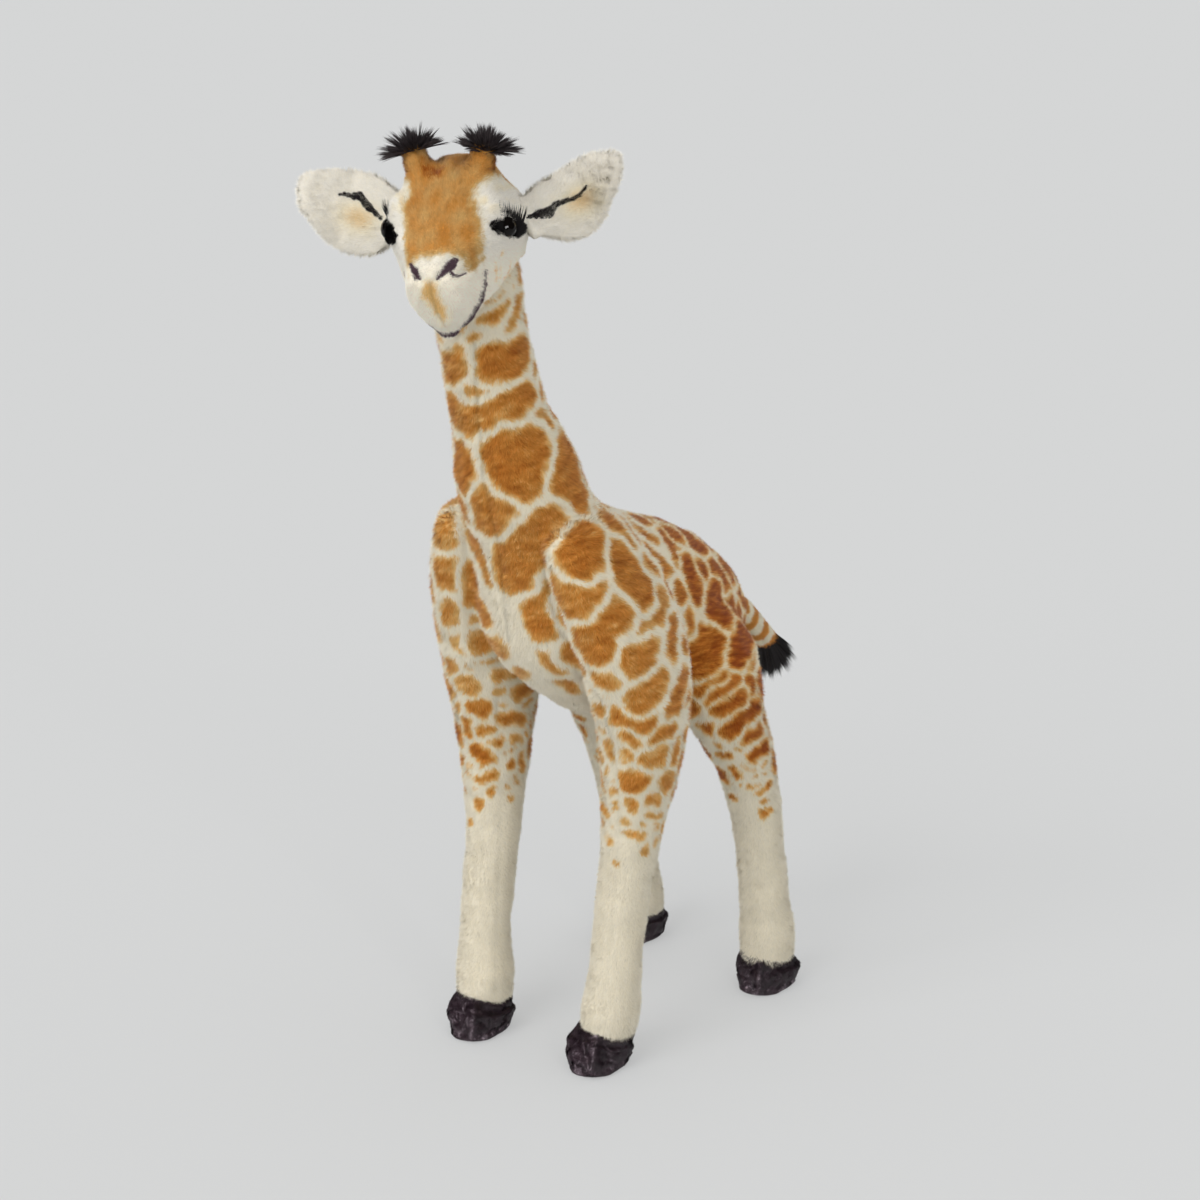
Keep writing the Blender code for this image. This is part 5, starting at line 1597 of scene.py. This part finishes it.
def build_hoof(node):
    """One hoof of crushed velour, stuffed and creased, with the seam down its toe."""
    skin = skin_from("velour_" + node, (node,), 0.003, 3, grow=0.0)
    points, normals = places_of(skin), normals_of(skin)
    seed = 700 + HOOVES.index(node)
    low, high = (np.array(corner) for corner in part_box(node))
    centre = (low + high) / 2
    turn = math.radians(TOE_TURNS[node])

    def toe(places):
        """Across the toe and ahead along it."""
        off = places - centre
        across = off[:, 0] * math.cos(turn) + off[:, 1] * math.sin(turn)
        return across, off[:, 0] * math.sin(turn) - off[:, 1] * math.cos(turn)

    across, ahead = toe(points)
    side = np.abs(normals[:, 2]) < 0.9
    crease = np.abs(ripple(points * (1.0, 1.0, 1.5), 0.036, seed, 8))
    fold = -0.0026 * np.exp(-((crease / 0.18) ** 2)) + 0.0011 * ripple(points, 0.018, seed + 9, 8)
    # A ridge runs down the toe, with a flat face on each side of it.
    ridge = 0.0055 * np.exp(-((across / 0.007) ** 2))
    ridge = ridge - 0.0046 * np.exp(-(((np.abs(across) - 0.025) / 0.014) ** 2))
    fold = fold + ridge * step(ahead, 0.0, 0.02)
    free = step(points[:, 2], 0.002, 0.010) * (1 - step(points[:, 2], 0.044, 0.050))
    points = points + normals * ((fold - 0.0014) * side * free)[:, None]
    # It narrows to the ground behind the toe, and its top edge falls away from the toe.
    behind = 1 - step(ahead - np.abs(across) * 0.6, 0.0, 0.03)
    narrow = 1 - 0.15 * step(-points[:, 2], -0.034, -0.002) * behind
    points[:, :2] = centre[:2] + (points[:, :2] - centre[:2]) * narrow[:, None]
    points[:, 2] -= 0.011 * step(points[:, 2], 0.026, 0.046) * step(across - 0.3 * ahead, -0.012, 0.034)
    place_all(skin, points)
    points, normals = places_of(skin), normals_of(skin)

    # Painted sheen: highlights of the crushed velour along the toe's seam, on the crests of its creases, in
    # crinkles on its left face and along its lower edge.
    def painted_sheen(places):
        across, ahead = toe(places)
        beside = across + 0.0015 * ripple(places, 0.012, seed + 2)
        line = np.exp(-((beside / 0.0016) ** 2)) * step(ahead, 0.0, 0.01)
        crest = np.exp(-((np.abs(ripple(places * (1.0, 1.0, 1.5), 0.036, seed, 8)) - 0.30) / 0.055) ** 2)
        thread = np.exp(-((ripple(places, 0.017, seed + 12) / 0.10) ** 2))
        patch = step(ripple(places, 0.022, seed + 3), 0.0, 1.1)
        speck = step(ripple(places, 0.0045, seed + 4), 0.0, 1.5)
        low_edge = np.exp(-(((places[:, 2] - 0.007) / 0.004) ** 2))
        near = np.exp(-((across + 0.012) / 0.020) ** 2) * step(ahead, -0.01, 0.01)
        total = 0.42 * line * (0.2 + speck) * (0.3 + patch) + 0.7 * thread * near * (0.2 + speck)
        total = total + (0.9 * crest + 0.5 * low_edge) * patch * (0.25 + speck)
        return np.clip(1.9 * total, 0, 1)

    store(skin, "painted_sheen", painted_sheen(points) * 0.6)
    skin.data.materials.clear()
    skin.data.materials.append(velour_material())
    # The nap lies a different way in each crushed patch.
    comb = np.stack([ripple(points, 0.020, seed + at) for at in (5, 6, 7)], axis=1) + (0, 0, -0.4)
    length = np.full(len(points), 0.0026) * step(points[:, 2], 0.002, 0.006)

    def nap(roots, way, pull):
        across, ahead = toe(roots)
        # The face right of the toe's ridge is painted darker, painted shade for the side turned from the light,
        # and carries less painted sheen.
        dark = step(across, 0.001, 0.006) * step(ahead, -0.03, 0.0) * step(roots[:, 2], 0.008, 0.020)
        shade = 0.52 + 0.16 * ripple(roots, 0.014, seed + 8) - 0.34 * dark + pull.normal(size=len(roots)) * 0.12
        return painted_sheen(roots) * (1 - 0.6 * dark) + pull.normal(size=len(roots)) * 0.04, shade

    pile = lay_pile(
        "pile_" + node, skin, unit(comb), length, 42000, seed + 20, nap, velour_pile_material(),
        width=0.62, spread=0.35, lift=0.45,
    )
    # Frayed velour stands up round the front of the top edge.
    top = step(points[:, 2], 0.030, 0.040) * (normals[:, 2] < 0.8) * (normals[:, 2] > 0.05)
    across, ahead = toe(points)
    ragged = 0.0065 * top * np.clip(0.5 + 0.7 * ripple(points, 0.008, seed + 11), 0, 1.3)
    ragged = ragged * step(ahead, -0.02, 0.01)
    stand = np.tile((0.0, 0.0, 1.0), (len(points), 1)) - normals * 0.5

    def fringe(roots, way, pull):
        return np.zeros(len(roots)), 0.3 + pull.normal(size=len(roots)) * 0.12

    fray = lay_pile(
        "fray_" + node, skin, unit(stand), ragged, 2200, seed + 21, fringe, velour_pile_material(), width=0.7,
        spread=0.5, lift=0.35,
    )
    return skin, pile, fray


# Operators


class Piece(bpy.types.Operator):
    """Base of the operators: a piece that can't be made is an error."""

    bl_options = {"REGISTER", "UNDO"}

    def execute(self, context):
        self.make()
        return {"FINISHED"}


class GIRAFFE_OT_body(Piece):
    """Skin, seams and pile of trunk, legs and neck, with the head that hides part of them"""

    bl_idname = "giraffe.body"
    bl_label = "Body and head coat"

    def make(self):
        body = build_body()
        head = build_head()
        pieces = [body, *build_body_pile(body, head)]
        for piece in pieces:
            if piece.name in ("coat_body", "pile_neck", "pile_front"):
                join_neck(piece)
            else:
                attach(piece, "body")
        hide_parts("torso", *LEGS, "neck")
        pile, lines, eyes = build_head_pile(head)
        for piece, slot in ((head, "coat_fur"), (pile, "coat_fur"), (lines, "black_fur"), (eyes, "black_fur")):
            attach(piece, "head")
        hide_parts("head", "horn_left", "horn_right")
        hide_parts("eye_rim_left", "eye_rim_right")


class GIRAFFE_OT_ears(Piece):
    """Both ears with their printed lines"""

    bl_idname = "giraffe.ears"
    bl_label = "Ears"

    def make(self):
        for side in SIDES:
            skin, pile, lines = build_ear(side)
            for piece, slot in ((skin, "cream_fur"), (pile, "cream_fur"), (lines, "black_fur")):
                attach(piece, "ear_" + side)
            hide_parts("ear_" + side)


class GIRAFFE_OT_horns(Piece):
    """The black brushes on both horns"""

    bl_idname = "giraffe.horns"
    bl_label = "Horn brushes"

    def make(self):
        for side in SIDES:
            brush = build_brush(side)
            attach(brush, "head")
            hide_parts("horn_tuft_" + side)


class GIRAFFE_OT_tail(Piece):
    """The tail and its brush"""

    bl_idname = "giraffe.tail"
    bl_label = "Tail"

    def make(self):
        skin, pile, tuft = build_tail()
        for piece, slot in ((skin, "coat_fur"), (pile, "coat_fur"), (tuft, "black_fur")):
            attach(piece, "tail")
        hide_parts("tail")
        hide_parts("tail_tuft")


class GIRAFFE_OT_eyes(Piece):
    """Eyes and their lashes, and the hidden fittings' finishes"""

    bl_idname = "giraffe.eyes"
    bl_label = "Eyes"

    def make(self):
        eye = plain_material("eye_gloss", linear(11, 8, 7), 0.09, scale=90, depth=0.00001)
        eye.node_tree.nodes["Principled BSDF"].inputs["Specular IOR Level"].default_value = 0.16
        washer = plain_material("washer_white", linear(226, 226, 220), 0.45, scale=400, depth=0.0001)
        wire = plain_material("zinc_wire", linear(150, 152, 155), 0.35, metallic=1.0, scale=500, depth=0.0001)
        for name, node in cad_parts.items():
            if name in ("eye_left", "eye_right"):
                node.material_slots[0].material = eye
            elif name.startswith("eye_washer"):
                node.material_slots[0].material = washer
            elif name.endswith("wire") or "_wire_" in name:
                node.material_slots[0].material = wire
        for side in SIDES:
            lashes = build_lashes(side)
            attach(lashes, "head")
            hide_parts("lashes_" + side)


class GIRAFFE_OT_hooves(Piece):
    """Four velour hooves"""

    bl_idname = "giraffe.hooves"
    bl_label = "Hooves"

    def make(self):
        for node in HOOVES:
            skin, pile, fray = build_hoof(node)
            for piece in (skin, pile, fray):
                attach(piece, "body")
            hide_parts(node)


class GIRAFFE_OT_stage(Piece):
    """Studio floor, light and camera"""

    bl_idname = "giraffe.stage"
    bl_label = "Studio"

    def make(self):
        scene = bpy.context.scene
        stage = scene.giraffe_stage
        bpy.ops.object.select_all(action="DESELECT")
        bpy.ops.mesh.primitive_plane_add(size=160.0, location=(0, 0, 0))
        floor = bpy.context.object
        floor.name = "studio_floor"
        finish = bpy.data.materials.new("studio_paper")
        _, shader = nodes_of(finish)
        # Part of the floor's brightness comes through it, so its shadows stay light.
        shader.inputs["Base Color"].default_value = [
            value * (1 - stage.glow) for value in stage.floor[:3]
        ] + [1]
        shader.inputs["Emission Color"].default_value = stage.floor
        shader.inputs["Emission Strength"].default_value = stage.glow
        shader.inputs["Roughness"].default_value = 0.95
        shader.inputs["Specular IOR Level"].default_value = 0.0
        floor.data.materials.append(finish)

        world = bpy.data.worlds.new("studio_sky")
        scene.world = world
        world.use_nodes = True
        tree = world.node_tree
        sky = tree.nodes["Background"]
        sky.inputs["Color"].default_value = (1.0, 1.0, 1.0, 1.0)
        sky.inputs["Strength"].default_value = stage.fill
        plain = add_node(tree, "ShaderNodeBackground")
        plain.inputs["Color"].default_value = stage.backdrop
        light = add_node(tree, "ShaderNodeLightPath")
        mix = add_node(tree, "ShaderNodeMixShader")
        dim = add_node(tree, "ShaderNodeMapRange")
        dim.inputs["To Min"].default_value = stage.fill
        dim.inputs["To Max"].default_value = stage.fill * 0.05
        tree.links.new(light.outputs["Is Glossy Ray"], dim.inputs["Value"])
        tree.links.new(dim.outputs["Result"], sky.inputs["Strength"])
        tree.links.new(light.outputs["Is Camera Ray"], mix.inputs["Fac"])
        tree.links.new(sky.outputs["Background"], mix.inputs[1])
        tree.links.new(plain.outputs["Background"], mix.inputs[2])
        tree.links.new(mix.outputs["Shader"], tree.nodes["World Output"].inputs["Surface"])

        # A high soft key from the front left, a low front light, and a small lamp for the glints.
        for name, power, spread, way in (
            ("key", stage.sun, 40, (-0.05, -1.0, 0.58)),
            ("front", stage.front, 75, (0.75, -0.80, 0.12)),
        ):
            lamp = bpy.data.lights.new(name, "SUN")
            lamp.energy = power
            lamp.angle = math.radians(spread)
            sun = bpy.data.objects.new(name, lamp)
            scene.collection.objects.link(sun)
            sun.rotation_euler = Vector(way).to_track_quat("Z", "Y").to_euler()
            sun.visible_glossy = False
        lamp = bpy.data.lights.new("glint", "AREA")
        lamp.size = 0.14
        lamp.energy = 5.0
        glint = bpy.data.objects.new("glint", lamp)
        scene.collection.objects.link(glint)
        glint.location = (2.6, -1.3, 1.9)
        glint.rotation_euler = (glint.location - Vector((0, -0.1, 0.8))).to_track_quat("Z", "Y").to_euler()

        seen = bpy.data.cameras.new("camera")
        seen.lens = stage.lens
        seen.sensor_width = 36.0
        seen.clip_end = 400.0
        camera = bpy.data.objects.new("camera", seen)
        scene.collection.objects.link(camera)
        camera.location = (1.979, -2.482, 1.496)
        camera.rotation_euler = (math.radians(73.8), 0.0, math.radians(38.76))
        scene.camera = camera
        scene.view_settings.view_transform = "Standard"


class GIRAFFE_PT_coat(bpy.types.Panel):
    """Settings and one button for each group of pieces"""

    bl_idname = "GIRAFFE_PT_coat"
    bl_label = "Plush giraffe"
    bl_space_type = "VIEW_3D"
    bl_region_type = "UI"
    bl_category = "Giraffe"

    def draw(self, context):
        layout = self.layout
        for group in (context.scene.giraffe_coat, context.scene.giraffe_hoof, context.scene.giraffe_stage):
            for name in group.__annotations__:
                layout.prop(group, name)
        for operator in OPERATORS:
            layout.operator(operator.bl_idname)


OPERATORS = (
    GIRAFFE_OT_body, GIRAFFE_OT_ears, GIRAFFE_OT_horns, GIRAFFE_OT_tail, GIRAFFE_OT_eyes,
    GIRAFFE_OT_hooves, GIRAFFE_OT_stage,
)
SETTINGS = (
    ("giraffe_coat", CoatSettings), ("giraffe_hoof", HoofSettings), ("giraffe_stage", StageSettings),
)


def register():
    """Add the settings, operators and panel."""
    for name, group in SETTINGS:
        bpy.utils.register_class(group)
        setattr(bpy.types.Scene, name, PointerProperty(type=group))
    for item in (*OPERATORS, GIRAFFE_PT_coat):
        bpy.utils.register_class(item)


def unregister():
    """Take them out again."""
    for item in reversed((*OPERATORS, GIRAFFE_PT_coat)):
        bpy.utils.unregister_class(item)
    for name, group in reversed(SETTINGS):
        delattr(bpy.types.Scene, name)
        bpy.utils.unregister_class(group)


def main():
    """Build every piece."""
    register()
    bpy.ops.giraffe.stage()
    bpy.ops.giraffe.body()
    bpy.ops.giraffe.ears()
    bpy.ops.giraffe.horns()
    bpy.ops.giraffe.tail()
    bpy.ops.giraffe.eyes()
    bpy.ops.giraffe.hooves()


if __name__ == "__main__":
    main()
